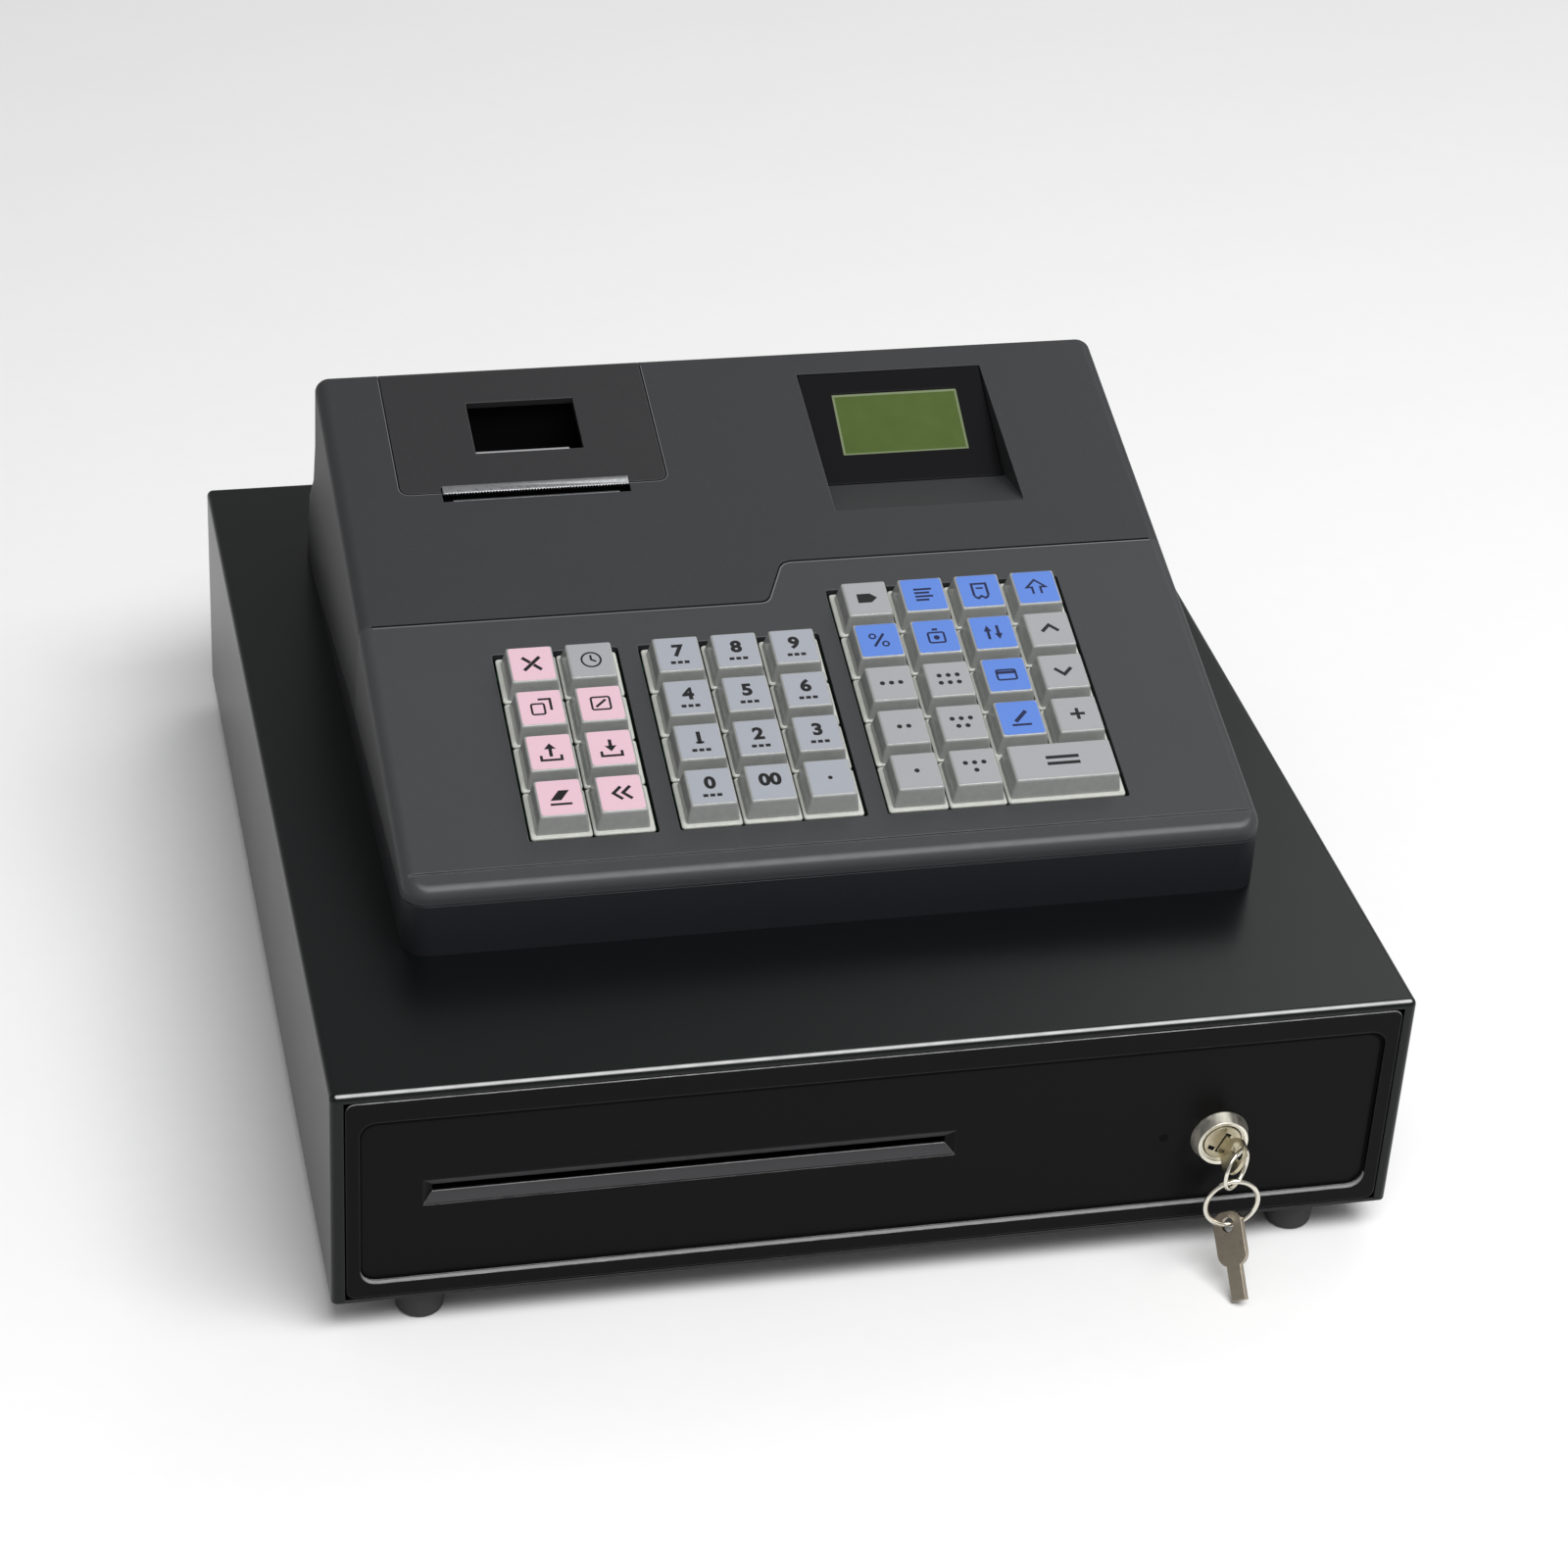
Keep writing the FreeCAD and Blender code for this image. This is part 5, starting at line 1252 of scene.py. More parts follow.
def draw_slip(marks: Marks) -> None:
    """A slip with a torn foot.

    Args:
        marks: The key's sheet.
    """
    marks.line([(-2.4, -2.2), (-2.4, 3.2), (2.4, 3.2), (2.4, -2.2)], 0.7)
    marks.line([(-2.4, -2.4), (-1.2, -3.4), (0.0, -2.4), (1.2, -3.4), (2.4, -2.4)], 0.7)
    marks.line([(-1.2, 1.2), (1.2, 1.2)], 0.6)


def draw_raise(marks: Marks) -> None:
    """A broad open arrow up."""
    marks.line([(-1.4, -3.0), (-1.4, 0.0), (-3.2, 0.0), (0.0, 3.3), (3.2, 0.0), (1.4, 0.0),
                (1.4, -3.0)], 0.65)


def draw_share(marks: Marks) -> None:
    """Two rings and a slanting line.

    Args:
        marks: The key's sheet.
    """
    for centre in ((-1.9, 1.8), (1.9, -1.8)):
        marks.ring(circle(1.3, centre=centre), circle(0.7, centre=centre))
    marks.line([(-1.9, -2.7), (1.9, 2.7)], 0.75)


def draw_badge(marks: Marks) -> None:
    """A badge with its clip hole.

    Args:
        marks: The key's sheet.
    """
    marks.box(3.0, 2.6, centre=(0.0, -0.6))
    marks.dot(0.0, -0.6, 1.0)
    marks.line([(-0.9, 3.0), (0.9, 3.0)], 0.8)


def draw_swap(marks: Marks) -> None:
    """Two pointers, up and down.

    Args:
        marks: The key's sheet.
    """
    marks.fill([(-3.0, 0.5), (-0.4, 0.5), (-1.7, 3.2)])
    marks.fill([(0.4, -0.5), (1.7, -3.2), (3.0, -0.5)])
    marks.line([(-1.7, 0.5), (-1.7, -3.0)], 0.8)
    marks.line([(1.7, -0.5), (1.7, 3.0)], 0.8)


def draw_up(marks: Marks) -> None:
    """A chevron up."""
    marks.line([(-2.8, -1.2), (0.0, 1.6), (2.8, -1.2)], 1.0)


def draw_down(marks: Marks) -> None:
    """A chevron down."""
    marks.line([(-2.8, 1.2), (0.0, -1.6), (2.8, 1.2)], 1.0)


def draw_card(marks: Marks) -> None:
    """A card with its stripe."""
    marks.box(3.5, 2.5)
    marks.line([(-2.9, 1.0), (2.9, 1.0)], 1.0)


def draw_pen(marks: Marks) -> None:
    """A pen over a rule."""
    marks.line([(-1.8, -1.6), (2.4, 2.8)], 1.1)
    marks.line([(-3.2, -3.0), (3.2, -3.0)])


def draw_plus(marks: Marks) -> None:
    """A plus.

    Args:
        marks: The key's sheet.
    """
    marks.line([(-2.4, 0.0), (2.4, 0.0)], 0.95)
    marks.line([(0.0, 0.55), (0.0, 2.4)], 0.95)
    marks.line([(0.0, -0.55), (0.0, -2.4)], 0.95)


def draw_equals(marks: Marks) -> None:
    """An equals sign, wide as its key."""
    marks.line([(-5.4, 1.3), (5.4, 1.3)], 1.1)
    marks.line([(-5.4, -1.3), (5.4, -1.3)], 1.1)


LEGENDS: dict[str, tuple[Hue, Callable[[Marks], None]]] = {
    "key_cancel": (Hue.PINK, draw_cross), "key_time": (Hue.GREY, draw_clock),
    "key_reprint": (Hue.PINK, draw_copies), "key_void": (Hue.PINK, draw_struck),
    "key_payout": (Hue.PINK, draw_out), "key_refund": (Hue.PINK, draw_in),
    "key_clear": (Hue.PINK, draw_wipe), "key_back": (Hue.PINK, draw_back),
    "key_item": (Hue.GREY, draw_tag), "key_feed": (Hue.BLUE, draw_rows),
    "key_receipt": (Hue.BLUE, draw_slip), "key_shift": (Hue.BLUE, draw_raise),
    "key_discount": (Hue.BLUE, draw_share), "key_clerk": (Hue.BLUE, draw_badge),
    "key_exchange": (Hue.BLUE, draw_swap), "key_up": (Hue.GREY, draw_up),
    "key_card": (Hue.BLUE, draw_card), "key_down": (Hue.GREY, draw_down),
    "key_cheque": (Hue.BLUE, draw_pen), "key_subtotal": (Hue.GREY, draw_plus),
    "key_total": (Hue.GREY, draw_equals),
    "key_00": (Hue.COOL, draw_figures("00")), "key_point": (Hue.COOL, draw_figures(".")),
    **{f"key_{figure}": (Hue.COOL, draw_figures(str(figure))) for figure in range(10)},
    **{f"key_group_{count}": (Hue.GREY, draw_tally(count)) for count in range(1, 7)},
}


@dataclass
class Keyboard:
    """The 39 clear caps, each with a printed sheet under its top and a flange at its foot."""

    cap_side: float = 18.0
    sheet_width: float = 14.6
    sheet_length: float = 15.0
    rim: float = 0.5
    sheet_corner: float = 1.0
    sheet_low: float = -0.15
    sheet_high: float = 0.04
    ink_sink: float = 0.01
    ink_gauge: float = 0.02
    flange_low: float = -1.5
    flange_high: float = -0.55
    flange_lip: float = 0.35
    flange_reach: float = 9.3
    outer_reach: float = 10.0
    hole_inset: float = 0.95
    hole_half_length: float = 7.95
    look_across: float = 6.0
    look_along: float = 15.0

    def build(self) -> None:
        """Dress the caps and lay their sheets and flanges."""
        dress({name: CAP_CLEAR for name in LEGENDS})
        spots = {name: DECK.extent(name) for name in LEGENDS}
        for name in spots:
            self.sheet(name, *spots[name])
            self.flange(name, spots)
        log.info("keyboard: %d caps", len(spots))

    def sheet(self, name: str, low: Vector, high: Vector) -> None:
        """Lay the printed sheet on one cap.

        Args:
            name: The key's node and body.
            low: The cap's lowest corner on the deck.
            high: The cap's highest corner on the deck.
        """
        hue, draw = LEGENDS[name]
        half_width = (high.x - low.x - self.cap_side + self.sheet_width) / 2 - self.rim
        half_length = self.sheet_length / 2 - self.rim
        ink = INK_BLUE if hue is Hue.BLUE else INK
        piece = Piece(f"sheet_{name}", (hue.value, ink),
                      DECK.place((low.x + high.x) / 2, (low.y + high.y) / 2, high.z))
        outline = rounded((-half_width, -half_length), (half_width, half_length),
                          self.sheet_corner)
        piece.slab(outline, self.sheet_low, self.sheet_high)
        draw(Marks(piece, self.sheet_high - self.ink_sink, self.sheet_high + self.ink_gauge))
        piece.finish(name, self.slot_of(hue))

    def flange(self, name: str, spots: dict[str, tuple[Vector, Vector]]) -> None:
        """Put the clear flange round the foot of one cap.

        Args:
            name: The key's node and body.
            spots: The corners of all caps on the deck, to find free sides.
        """
        low, high = spots[name]
        middle = (low + high) / 2
        half_width = (high.x - low.x) / 2
        extra = half_width - self.cap_side / 2

        def reach(across: float, along: float) -> float:
            """How far the flange goes towards one side.

            Args:
                across: -1 for the left side, 1 for the right, or 0.
                along: -1 for the front side, 1 for the rear, or 0.

            Returns:
                The reach in millimetres.
            """
            spot = Vector((middle.x + across * (half_width + self.look_across),
                           middle.y + along * self.look_along))
            for other, (least, most) in spots.items():
                if other != name and least.x < spot.x < most.x and least.y < spot.y < most.y:
                    return self.flange_reach
            return self.outer_reach

        corner = -(reach(-1.0, 0.0) + extra), -reach(0.0, -1.0)
        opposite = reach(1.0, 0.0) + extra, reach(0.0, 1.0)
        hole_width = half_width - self.hole_inset
        outer = rounded(corner, opposite, 1.0)
        top = rounded(corner, opposite, 0.8, inset=self.flange_lip)
        hole = rounded((-hole_width, -self.hole_half_length),
                       (hole_width, self.hole_half_length), 0.6)
        piece = Piece(f"flange_{name}", (FLANGE_CLEAR_HIGHLIGHT,), DECK.place(middle.x, middle.y))
        piece.skin([level(outer, self.flange_low),
                    level(outer, self.flange_high - self.flange_lip),
                    level(top, self.flange_high), level(hole, self.flange_high),
                    level(hole, self.flange_low)], hollow=True)
        piece.finish(name, self.slot_of(LEGENDS[name][0]))

    def slot_of(self, hue: Hue) -> str:
        """The record's material slot of a key with this sheet."""
        return {Hue.PINK: "pink_keys", Hue.BLUE: "blue_keys"}.get(hue, "grey_keys")


# Display


@dataclass
class Display:
    """The glossy mask with its opening, the liquid crystal panel and the board behind them."""

    mask_low: Point = (28.9, 0.3)
    mask_high: Point = (93.7, 46.1)
    mask_gauge: float = 1.9
    mask_edge: float = 0.3
    panel_low: Point = (39.5, 12.2)
    panel_high: Point = (84.0, 37.5)
    hole_edge: float = 0.2
    rim: float = 0.9
    rim_gap: float = 0.02
    rim_rise: float = 0.1
    panel_drop: float = 0.7
    board_low: Point = (36.0, 7.0)
    board_high: Point = (88.0, 41.5)
    board_gauge: float = 1.6
    board_foot: float = 7.5
    filler_inset: float = 2.0

    def build(self) -> None:
        """Make the mask, the panel and the board."""
        self.mask()
        self.panel()
        self.board()
        log.info("display: mask, panel and board")

    def mask(self) -> None:
        """The glossy mask, with soft edges outside and round its opening."""
        outer = rounded(self.mask_low, self.mask_high, 0.8)
        edge = rounded(self.mask_low, self.mask_high, 0.6, inset=self.mask_edge)
        hole = rounded(self.panel_low, self.panel_high, 0.4)
        soft = rounded(self.panel_low, self.panel_high, 0.5, inset=-self.hole_edge)
        piece = Piece("display_mask", (MASK_BLACK,), GLASS.place())
        piece.skin([level(outer, -self.mask_gauge), level(outer, -self.mask_edge),
                    level(edge, 0.0), level(soft, 0.0), level(hole, -self.hole_edge),
                    level(hole, -self.mask_gauge)], hollow=True)
        shown = piece.finish("register", "window_plastic")
        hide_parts("display_module")

    def panel(self) -> None:
        """The crystal panel in the mask's opening, with its rim."""
        near = rounded(self.panel_low, self.panel_high, 0.2, inset=self.rim)
        full = rounded(self.panel_low, self.panel_high, 0.35, inset=self.rim_gap)
        piece = Piece("crystal_panel", (PANEL_GREEN, PANEL_RIM), GLASS.place())
        piece.slab(near, -self.mask_gauge, -self.panel_drop)
        piece.skin([level(full, -self.mask_gauge), level(full, -self.panel_drop + self.rim_rise),
                    level(near, -self.panel_drop + self.rim_gap), level(near, -self.mask_gauge)],
                   hollow=True, slot=1)
        piece.finish("register")

    def board(self) -> None:
        """The driver board, with the filler between it and the mask."""
        piece = Piece("display_board", (BOARD_GREEN,), GLASS.place())
        face = -self.board_foot + self.board_gauge
        piece.slab(rounded(self.board_low, self.board_high, 0.5), -self.board_foot, face)
        piece.slab(rounded(self.board_low, self.board_high, 0.5, inset=self.filler_inset), face,
                   -self.mask_gauge)
        piece.finish("register", "board_resin")


# Printer


@dataclass
class Printer:
    """The painted shade and highlight round the lid, the tear bar, the strip in the paper slot and
    the window's lip with its painted highlight.
    """

    lid_width: float = 89.5
    lid_corner: float = 3.0
    hinge_length: float = 4.0
    # Depth of the strips of painted shade and painted highlight round the lid.
    joint_low: float = -0.5
    joint_high: float = 0.03
    lip_step: float = 0.005
    bar_left: float = -101.0
    bar_right: float = -38.6
    bar_start: float = 163.7
    bar_end: float = 167.1
    bar_top: float = 0.9
    bar_gauge: float = 0.8
    bar_over: float = 0.08
    bar_rim: float = 0.2
    bar_rise: float = 0.15
    bar_slope: float = 0.12
    tooth: float = 1.0
    tooth_depth: float = 0.5
    guide_left: float = -98.0
    guide_right: float = -42.0
    window_left: float = -87.3
    window_right: float = -55.6

    def build(self) -> None:
        """Dress the nodes, then make the trim of the lid and of the slot."""
        dress({"printer_cover": LID_GREY, "printer_mechanism": INNER_BLACK,
               "platen_roller": PLATEN_RUBBER})
        self.lid_joint()
        self.tear_bar()
        self.slot_guide()
        self.window_lip()
        log.info("printer: lid joint, tear bar, slot guide and window lip")

    def lid_joint(self) -> None:
        """A strip of painted shade round the closed lid, partly its real dark gap, with a painted
        highlight on the cover's edge beside it.
        """
        low, high = DECK.extent("printer_cover")
        middle, half = (low.x + high.x) / 2, self.lid_width / 2
        rear = high.y - self.hinge_length
        piece = Piece("lid_joint", (FLAT_BLACK_SHADE, GROOVE_HIGHLIGHT), DECK.place())
        # Slot 0 is painted shade along the lid's gap, slot 1 a painted highlight on the cover's
        # edge.
        for slot, (gap, width) in enumerate(((0.27, 0.46), (0.62, 0.24))):
            left, right = middle - half - gap, middle + half + gap
            outline = rounded((left, low.y - gap), (right, rear), self.lid_corner + gap)
            front = outline[len(outline) // 2:]
            line = ribbon([(left, rear), *front, (right, rear)], width)
            piece.slab(line, self.joint_low, self.joint_high + self.lip_step * slot, slot)
        piece.finish("register", "cover_plastic")

    def tear_bar(self) -> None:
        """A steel strip with fine teeth along its front edge, its top edges softened."""
        low = self.bar_top - self.bar_gauge - self.bar_over
        high = self.bar_top + self.bar_over
        left, right = self.bar_left - self.bar_over, self.bar_right + self.bar_over
        front, rear = self.bar_start - self.bar_over, self.bar_end + self.bar_over
        count = round((right - left) / self.tooth)
        points = []
        for index in range(count):
            start = left + (right - left) * index / count
            points.append((start, front))
            points.append((start + (right - left) / count / 2, front - self.tooth_depth))
        points += [(right, front), (right, rear), (left, rear)]
        inner = [(min(max(across, left + self.bar_rim), right - self.bar_rim),
                  min(max(along + self.bar_slope, front), self.bar_end - self.bar_rim))
                 for across, along in points]
        piece = Piece("tear_bar", (TEAR_STEEL,), DECK.place())
        piece.skin([level(points, low), level(points, high - self.bar_rise), level(inner, high)])
        piece.finish("register", "plated_steel")

    def slot_guide(self) -> None:
        """The bright strip in the paper slot, in front of the tear bar."""
        piece = Piece("slot_guide", (GUIDE_STEEL,), DECK.place())
        profile = [(160.9, -1.6), (160.9, -0.75), (161.2, -0.5), (161.8, -0.55), (162.1, -1.6)]
        piece.strip(profile, self.guide_left, self.guide_right)
        piece.finish("register", "plated_steel")

    def window_lip(self) -> None:
        """The lip along the near edge of the lid's window, short of its right end, its pale grey a
        painted highlight.
        """
        piece = Piece("window_lip", (WINDOW_LIP_HIGHLIGHT,), DECK.place())
        profile = [(182.7, -2.3), (182.7, -0.25), (183.1, -0.1), (183.9, -0.5), (184.2, -1.2),
                   (184.2, -2.3)]
        piece.strip(profile, self.window_left, self.window_right)
        piece.finish("printer_lid", "cover_plastic")


# Cash drawer


@dataclass
class Screw:
    """A round-headed screw; its crossed recess is not cut but painted on as a flat black cross of
    shade.
    """

    radius: float = 3.0
    height: float = 1.4
    sunk: float = 0.3
    arm_share: float = 0.55
    recess: float = 0.7
    recess_gauge: float = 0.3
    recess_rise: float = 0.02
    crown: tuple[Point, ...] = ((1.0, 0.35), (0.92, 0.75), (0.7, 1.1), (0.4, 1.3))

    def build(self, name: str, body: str, place: Matrix) -> None:
        """Make one screw head.

        Args:
            name: The object's name.
            body: The body that carries it.
            place: A space on the face, with its up pointing out.
        """
        piece = Piece(name, (SCREW_BLACK, FLAT_BLACK_SHADE), place)
        piece.skin([level(circle(self.radius), -self.sunk)]
                   + [level(circle(self.radius * share), self.height * height)
                      for share, height in self.crown])
        arm, half = self.radius * self.arm_share, self.recess / 2
        top = self.height * self.crown[-1][1] + self.recess_rise
        cross = [(half, half), (half, arm), (-half, arm), (-half, half), (-arm, half),
                 (-arm, -half), (-half, -half), (-half, -arm), (half, -arm), (half, -half),
                 (arm, -half), (arm, half)]
        # The crossed recess: a flat black cross of painted shade laid on the crown.
        piece.slab(cross, top - self.recess_gauge, top, slot=1)
        piece.finish(body, "drawer_case")


@dataclass
class CashDrawer:
    """The steel case with its drawer, tray, lock and keys."""

    border_side: float = 4.2
    border_top: float = 7.5
    border_base: float = 5.2
    panel_corner: float = 5.0
    panel_sink: float = 1.8
    # Widths of the painted shadow round the sunk panel: narrow at the sides and foot, widest under
    # the top.
    joint_side: float = 0.8
    joint_base: float = 0.5
    joint_top: float = 2.3
    joint_corner: float = 4.5
    joint_low: float = -0.2
    joint_high: float = 0.04
    ledge_half: float = 0.05
    ledge_low: float = 0.6
    ledge_high: float = 1.7
    corner_steps: int = 6
    slot_middle: float = -57.9
    slot_rise: float = 38.2
    slot_length: float = 163.6
    slot_height: float = 9.4
    slot_depth: float = 2.2
    slot_inset: float = 3.0
    slit_height: float = 2.6
    bevel_edge: float = 0.3
    bevel_slit: float = 0.1
    bevel_start: float = -0.2
    bevel_lifts: Point = (-0.15, 0.05)
    lock_across: float = 109.2
    lock_height: float = 43.0
    lock_proud: float = 4.2
    plug_sink: float = 0.6
    keyway_half: Point = (0.95, 3.7)
    keyway_turn: float = -26.0
    mark_across: float = 91.0
    mark_height: float = 44.0
    screw_across: float = 150.0
    screw_heights: Point = (80.0, 24.0)

    def build(self) -> None:
        """Dress the nodes and add the small parts."""
        dress({
            "case_shell": CASE_PAINT, "case_floor": PAN_PAINT, "latch_unit": ZINC,
            "latch_hook": ZINC, "feet": FOOT_RUBBER, "drawer_box": TUB_PAINT,
            "drawer_front": FRONT_PAINT, "cash_tray": TRAY_PLASTIC, "bill_clips": SPRING_STEEL,
            "lock_barrel": NICKEL, "lock_plug": PLUG_NICKEL, "key_rings": RING_STEEL,
            "spare_key": KEY_STEEL,
        })
        self.panel_joint()
        self.slot_bevels()
        self.lock_face()
        self.position_mark()
        self.rear_screws()
        log.info("cash drawer: panel joint, slot bevels, lock face and screws")

    def on_panel(self, across: float = 0.0, height: float = 0.0) -> Matrix:
        """A space on the sunk panel of the drawer's front."""
        return facing_front(across, FRONT_Y + self.panel_sink, height)

    def panel_joint(self) -> None:
        """A strip of painted shadow round the drawer's sunk panel, widest under its upper wall, and
        a painted highlight along the ledge below.
        """
        low, high = (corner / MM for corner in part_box("drawer_front"))
        left, right = low.x + self.border_side, high.x - self.border_side
        foot, top = low.z + self.border_base, high.z - self.border_top
        outer = rounded((left, foot), (right, top), self.panel_corner)
        inner = rounded((left + self.joint_side, foot + self.joint_base),
                        (right - self.joint_side, top - self.joint_top), self.joint_corner)
        # Painted shadow round the sunk panel, widest under its upper wall.
        shade_strip = Piece("panel_joint", (FLAT_BLACK_SHADE,), self.on_panel())
        shade_strip.band(outer, inner, self.joint_low, self.joint_high)
        shade_strip.finish("drawer", "drawer_face")
        steps, half = self.corner_steps, self.ledge_half
        path = rounded((left, foot), (right, top), self.panel_corner, steps)[2 * (steps + 1):]
        section = ((-half, self.ledge_low), (-half, self.ledge_high), (half, self.ledge_high),
                   (half, self.ledge_low))
        rows = []
        for index, (across, along) in enumerate(path):
            turn = math.pi / 2 * (2 + index // (steps + 1) + index % (steps + 1) / steps)
            inward = Vector((-math.cos(turn), -math.sin(turn)))
            rows.append([Vector((across + inward.x * depth, along + inward.y * depth, above))
                         for depth, above in section])
        # A thin pale fin along the lower edge: a painted highlight.
        ledge = Piece("panel_ledge_highlight", (LEDGE_HIGHLIGHT,), self.on_panel())
        ledge.skin(rows)
        ledge.finish("drawer", "drawer_face")

    def slot_bevels(self) -> None:
        """The slopes over and under the note slot, their greys painted light: lit on the lower
        slope and a painted reflection on the upper.
        """
        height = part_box("case_floor")[0].z / MM + self.slot_rise
        piece = Piece("slot_bevels", (BEVEL_LIT, BEVEL_DIM),
                      self.on_panel(self.slot_middle, height))
        half = self.slot_length / 2 - self.bevel_edge
        rim = self.slot_height / 2 - self.bevel_edge
        slit = self.slit_height / 2 + self.bevel_slit
        rise = self.slot_height / 2 - self.slit_height / 2
        start = self.bevel_start
        end = start - self.slot_depth * (rim - slit) / rise
        # Slot 0 is the lower slope with its painted light, slot 1 the upper with its painted
        # reflection.
        for slot, side in enumerate((-1.0, 1.0)):
            corners = [Vector((-half, side * rim, start)), Vector((half, side * rim, start)),
                       Vector((half - self.slot_inset, side * slit, end)),
                       Vector((-half + self.slot_inset, side * slit, end))]
            out = Vector((0.0, -side * self.slot_depth, rise)).normalized()
            piece.skin([[corner + out * lift for corner in corners] for lift in self.bevel_lifts],
                       slot=slot)
        piece.finish("drawer", "drawer_face")

    def lock_face(self) -> None:
        """The plug's face round the key: a turned disc, with flat black painted shade for its
        keyway and a pressed notch.
        """
        face_y = FRONT_Y - (self.lock_proud - self.panel_sink) + self.plug_sink
        piece = Piece("plug_face", (PLUG_NICKEL, FLAT_BLACK_SHADE),
                      facing_front(self.lock_across, face_y, self.lock_height))
        disc = ((5.9, -0.2), (5.9, 0.05), (5.6, 0.18), (1.0, 0.12))
        piece.skin([level(circle(radius, 48), height) for radius, height in disc])
        width, length = self.keyway_half
        turn = Matrix.Rotation(math.radians(self.keyway_turn), 2)
        corners = ((-width, -length), (width, -length), (width, length), (-width, length))
        # The keyway: a flat black sheet of painted shade, not a cut.
        piece.slab([tuple(turn @ Vector(point)) for point in corners], 0.1, 0.22, slot=1)
        # The pressed notch, also flat black painted shade.
        notch = [(-4.9, -1.6), (-3.0, -2.6), (-2.4, -1.4), (-4.5, -0.2)]
        piece.slab(notch, 0.1, 0.2, slot=1)
        piece.finish("lock_plug", "nickel")

    def position_mark(self) -> None:
        """A pressed dimple beside the lock that shows where the key turns to."""
        # Plain flat black, the panel's own colour, here free of the painted edge highlights.
        piece = Piece("lock_mark", (FLAT_BLACK_SHADE,), self.on_panel(self.mark_across, self.mark_height))
        dimple = ((1.5, -0.1), (1.4, 0.1), (1.0, 0.2), (0.6, 0.12), (0.2, 0.05))
        piece.skin([level(circle(radius, 24), height) for radius, height in dimple])
        piece.finish("drawer", "drawer_face")

    def rear_screws(self) -> None:
        """Four screws that hold the case's rear wall."""
        places = [(side * self.screw_across, height)
                  for height in self.screw_heights for side in (-1.0, 1.0)]
        for index, (across, height) in enumerate(places, 1):
            Screw().build(f"case_screw_{index}", "register", facing_rear(across, REAR_Y, height))


# Housing


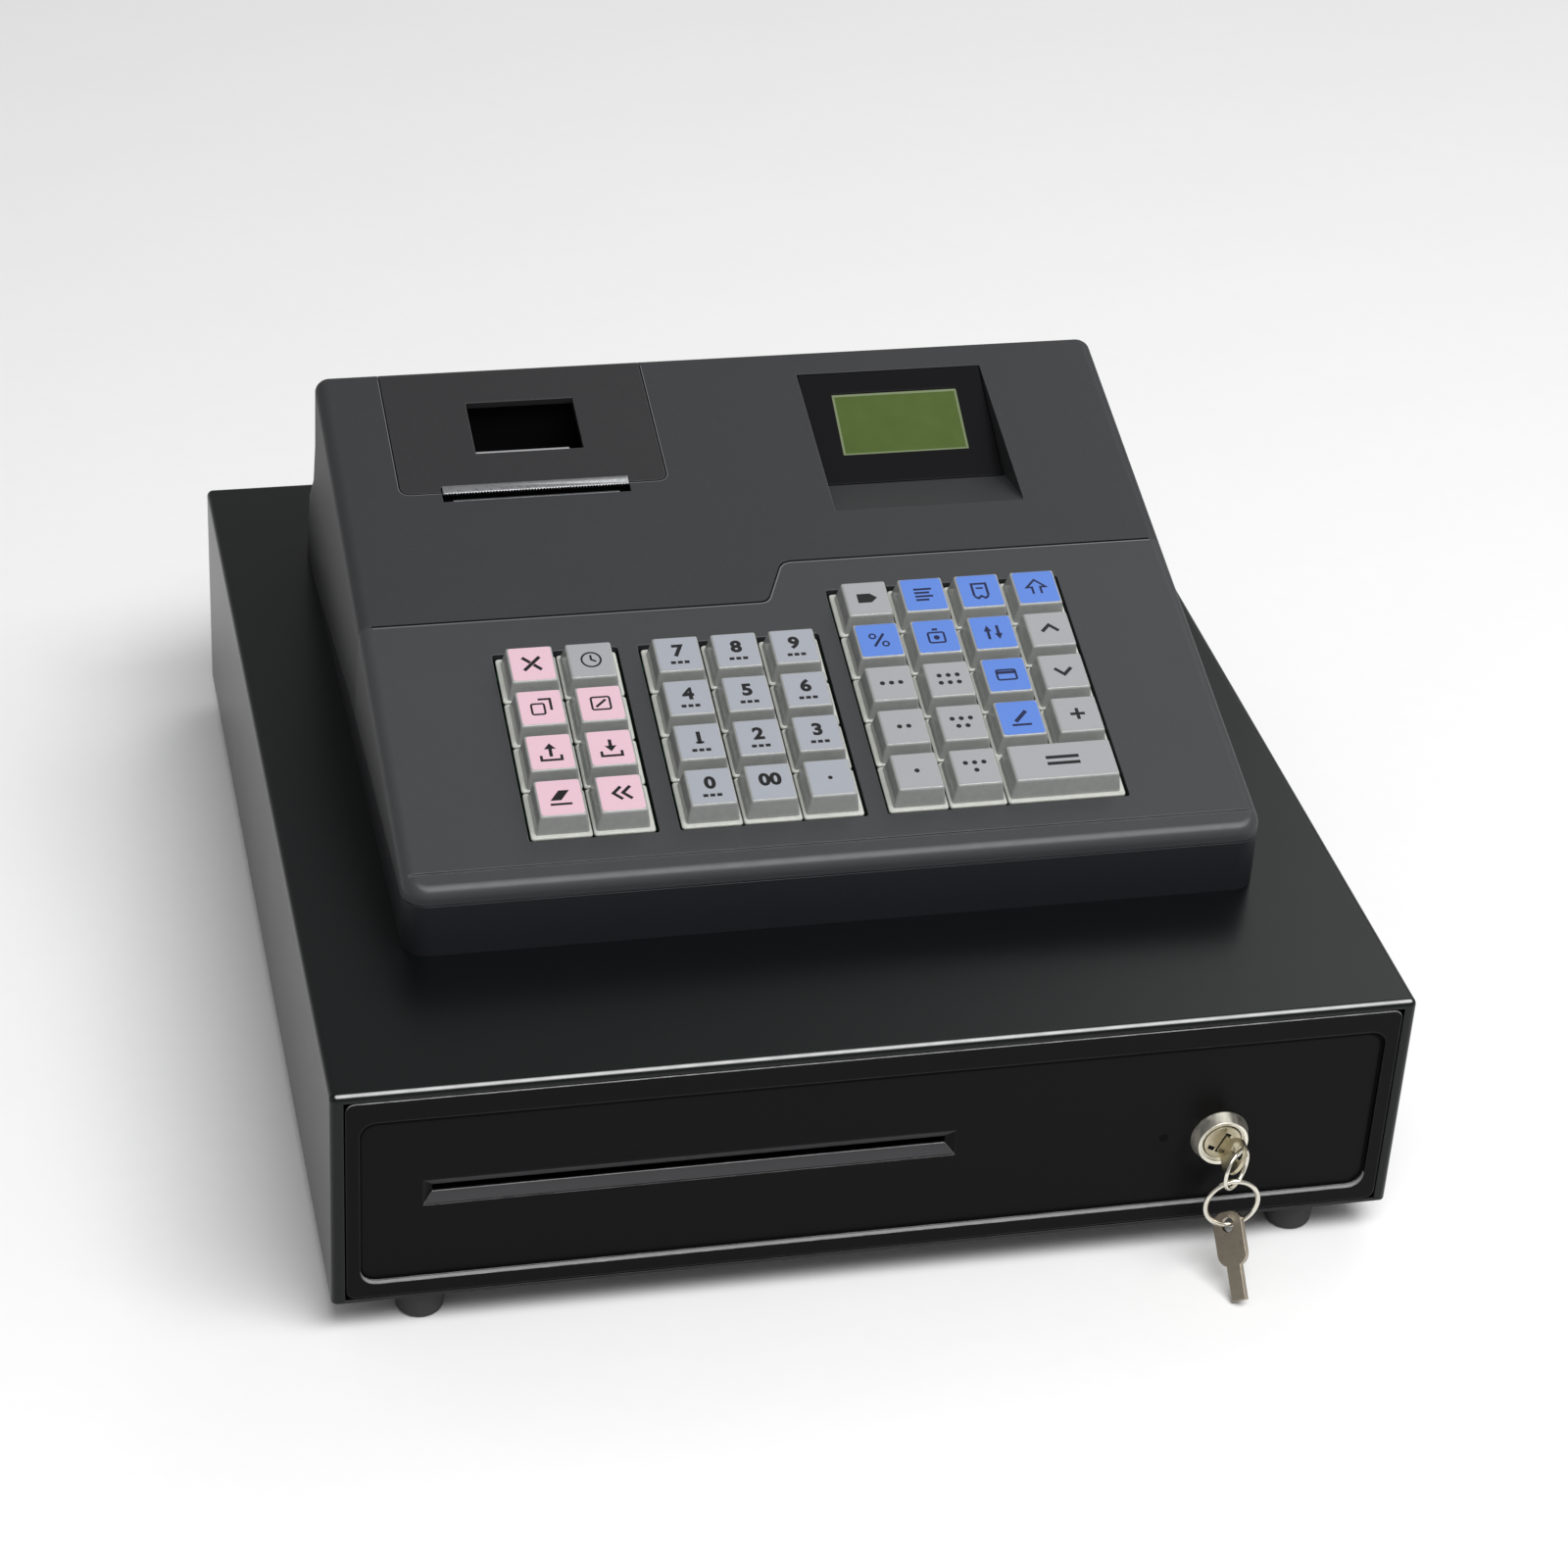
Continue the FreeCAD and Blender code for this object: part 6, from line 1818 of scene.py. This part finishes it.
@dataclass
class Housing:
    """The register's shells, circuit boards and rear sockets."""

    groove_width: float = 0.75
    groove_low: float = -0.5
    groove_high: float = 0.03
    lip_shift: Point = (0.1, -0.62)
    lip_width: float = 0.45
    lip_high: float = 0.04
    board_rise: float = 8.0
    board_gauge: float = 1.6
    wall_y: float = 315.4
    liner_depth: float = 8.0
    liner_proud: float = 0.06
    data_across: float = 70.0
    data_rise: float = 6.0
    data_half: Point = (7.05, 6.05)
    data_mouth: Point = (4.9, 3.4)
    contacts: int = 4
    contact_start: float = -2.4
    contact_pitch: float = 1.6
    contact_half: float = 0.4
    contact_low: float = -2.9
    contact_high: float = -2.5
    contact_drop: float = 1.0
    power_across: float = 96.0
    power_rise: float = 5.5
    power_half: Point = (5.05, 5.55)
    power_mouth: float = 3.2
    pin_radius: float = 1.03
    pin_low: float = -10.0
    pin_high: float = -2.0

    def build(self) -> None:
        """Dress the shells and line the sockets."""
        dress({"keyboard_cover": HOUSING, "rear_cover": REAR_HOUSING_SHADED,
               "register_base": BASE_BLACK, "circuit_boards": BOARD_GREEN})
        self.parting_line()
        self.data_socket()
        self.power_socket()
        log.info("housing: parting line and sockets")

    def parting_line(self) -> None:
        """Painted shade in the groove where the two covers meet, wider than their real gap, with a
        painted highlight on its near lip.
        """
        middle = [(-132.2, 105.2), (-4.4, 105.2), (-2.6, 105.75), (-1.3, 107.1), (4.9, 121.1),
                  (6.3, 122.45), (8.2, 123.0), (132.2, 123.0)]
        near = [(across + self.lip_shift[0], along + self.lip_shift[1])
                for across, along in middle]
        piece = Piece("parting_groove_shade_and_highlight", (FLAT_BLACK_SHADE, GROOVE_HIGHLIGHT), DECK.place())
        # Painted shade in the groove, wider than the covers' real gap.
        piece.slab(ribbon(middle, self.groove_width), self.groove_low, self.groove_high)
        # A painted highlight on the groove's near lip.
        piece.slab(ribbon(near, self.lip_width), self.groove_low, self.lip_high, slot=1)
        piece.finish("register", "cover_plastic")

    def socket_place(self, across: float, rise: float) -> Matrix:
        """A space on the mouth of a rear socket.

        Args:
            across: Millimetres to the right.
            rise: How far the socket's middle is above its board.

        Returns:
            The space's matrix in millimetres.
        """
        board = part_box("case_shell")[1].z / MM + self.board_rise + self.board_gauge
        return facing_rear(across, FRONT_Y + self.wall_y, board + rise)

    def data_socket(self) -> None:
        """The metal liner and the gold contacts of the data socket."""
        piece = Piece("data_socket_liner", (TEAR_STEEL, CONTACT_GOLD),
                      self.socket_place(self.data_across, self.data_rise))
        outer, inner = (rounded((-half[0], -half[1]), half, corner)
                        for half, corner in ((self.data_half, 0.4), (self.data_mouth, 0.3)))
        piece.band(outer, inner, -self.liner_depth, self.liner_proud)
        for index in range(self.contacts):
            across = self.contact_start + self.contact_pitch * index
            contact = rounded((across - self.contact_half, self.contact_low),
                              (across + self.contact_half, self.contact_high), 0.1)
            piece.slab(contact, -self.liner_depth, -self.contact_drop, slot=1)
        piece.finish("register", "plated_steel")

    def power_socket(self) -> None:
        """The black body of the power socket and the pin in it."""
        piece = Piece("power_socket_body", (SOCKET_BLACK, TEAR_STEEL),
                      self.socket_place(self.power_across, self.power_rise))
        width, height = self.power_half
        hole = circle(self.power_mouth)
        outer = rounded((-width, -height), (width, height), 0.5, steps=len(hole) // 4 - 1)
        piece.band(outer, hole, -self.liner_depth, self.liner_proud)
        piece.slab(circle(self.pin_radius), self.pin_low, self.pin_high, slot=1)
        piece.finish("register", "mechanism_plastic")


# Studio


@dataclass
class Studio:
    """Pale floor, soft lights and the camera at the photograph's angle."""

    lens: float = 92.748
    film_width: float = 36.0
    eye: Place = (-0.27442, -1.10091, 0.80928)
    right: Place = (0.97562292, -0.21322792, 0.05190164)
    forward: Place = (0.20677302, 0.81394052, -0.54290492)
    near_limit: float = 0.01
    far_limit: float = 50.0
    floor_reach: float = 6.0
    surround: float = 0.36

    def build(self) -> None:
        """Set up camera, floor and lights."""
        self.camera()
        self.floor()
        self.lights()
        log.info("studio ready")

    def add(self, name: str, data: bpy.types.ID) -> bpy.types.Object:
        """Put an object into the scene.

        Args:
            name: Its name.
            data: Its camera, mesh or light.

        Returns:
            The object.
        """
        made = bpy.data.objects.new(name, data)
        bpy.context.scene.collection.objects.link(made)
        return made

    def camera(self) -> None:
        """The camera, aimed as in the photograph."""
        data = bpy.data.cameras.new("camera")
        data.lens = self.lens
        data.sensor_width = self.film_width
        data.clip_start = self.near_limit
        data.clip_end = self.far_limit
        camera = self.add("camera", data)
        forward = Vector(self.forward).normalized()
        right = Vector(self.right).normalized()
        upward = right.cross(forward).normalized()
        right = forward.cross(upward).normalized()
        turned = Matrix((right, upward, -forward)).transposed().to_4x4()
        camera.matrix_world = Matrix.Translation(self.eye) @ turned
        bpy.context.scene.camera = camera

    def floor(self) -> None:
        """A wide pale floor under the feet."""
        data = bpy.data.meshes.new("floor")
        reach = self.floor_reach
        corners = [(-reach, -reach, 0.0), (reach, -reach, 0.0), (reach, reach, 0.0),
                   (-reach, reach, 0.0)]
        data.from_pydata(corners, [], [(0, 1, 2, 3)])
        data.materials.append(FLOOR.material())
        floor = self.add("floor", data)

    def lights(self) -> None:
        """Two large soft boxes and an even pale surround."""
        world = bpy.data.worlds.new("surround")
        world.use_nodes = True
        background = world.node_tree.nodes["Background"]
        background.inputs["Color"].default_value = WHITE
        background.inputs["Strength"].default_value = self.surround
        bpy.context.scene.world = world
        self.softbox("front_light", (0.4, -1.0, 1.9), (0.0, 0.0, 0.1), (2.0, 1.0), 44.0)
        self.softbox("rear_light", (1.6, 1.9, 2.2), (0.0, 0.3, 0.1), (1.6, 1.6), 12.0)
        bpy.context.scene.view_settings.view_transform = "Standard"

    def softbox(self, name: str, spot: Place, aim: Place, sides: Point, power: float) -> None:
        """Hang one soft light.

        Args:
            name: The light's name.
            spot: Where it hangs, in metres.
            aim: What it points at.
            sides: Its width and height.
            power: Its power in watts.
        """
        data = bpy.data.lights.new(name, "AREA")
        data.shape = "RECTANGLE"
        data.size, data.size_y = sides
        data.energy = power
        light = self.add(name, data)
        light.location = spot
        light.rotation_mode = "QUATERNION"
        light.rotation_quaternion = (Vector(aim) - Vector(spot)).to_track_quat("-Z", "Y")


def main() -> None:
    """Build the studio and the sub-assemblies, which report each piece."""
    logging.basicConfig(level=logging.INFO, format="%(name)s: %(message)s")
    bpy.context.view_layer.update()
    for assembly in (Studio(), CashDrawer(), Housing(), Keyboard(), Display(), Printer()):
        assembly.build()


if __name__ == "__main__":
    main()
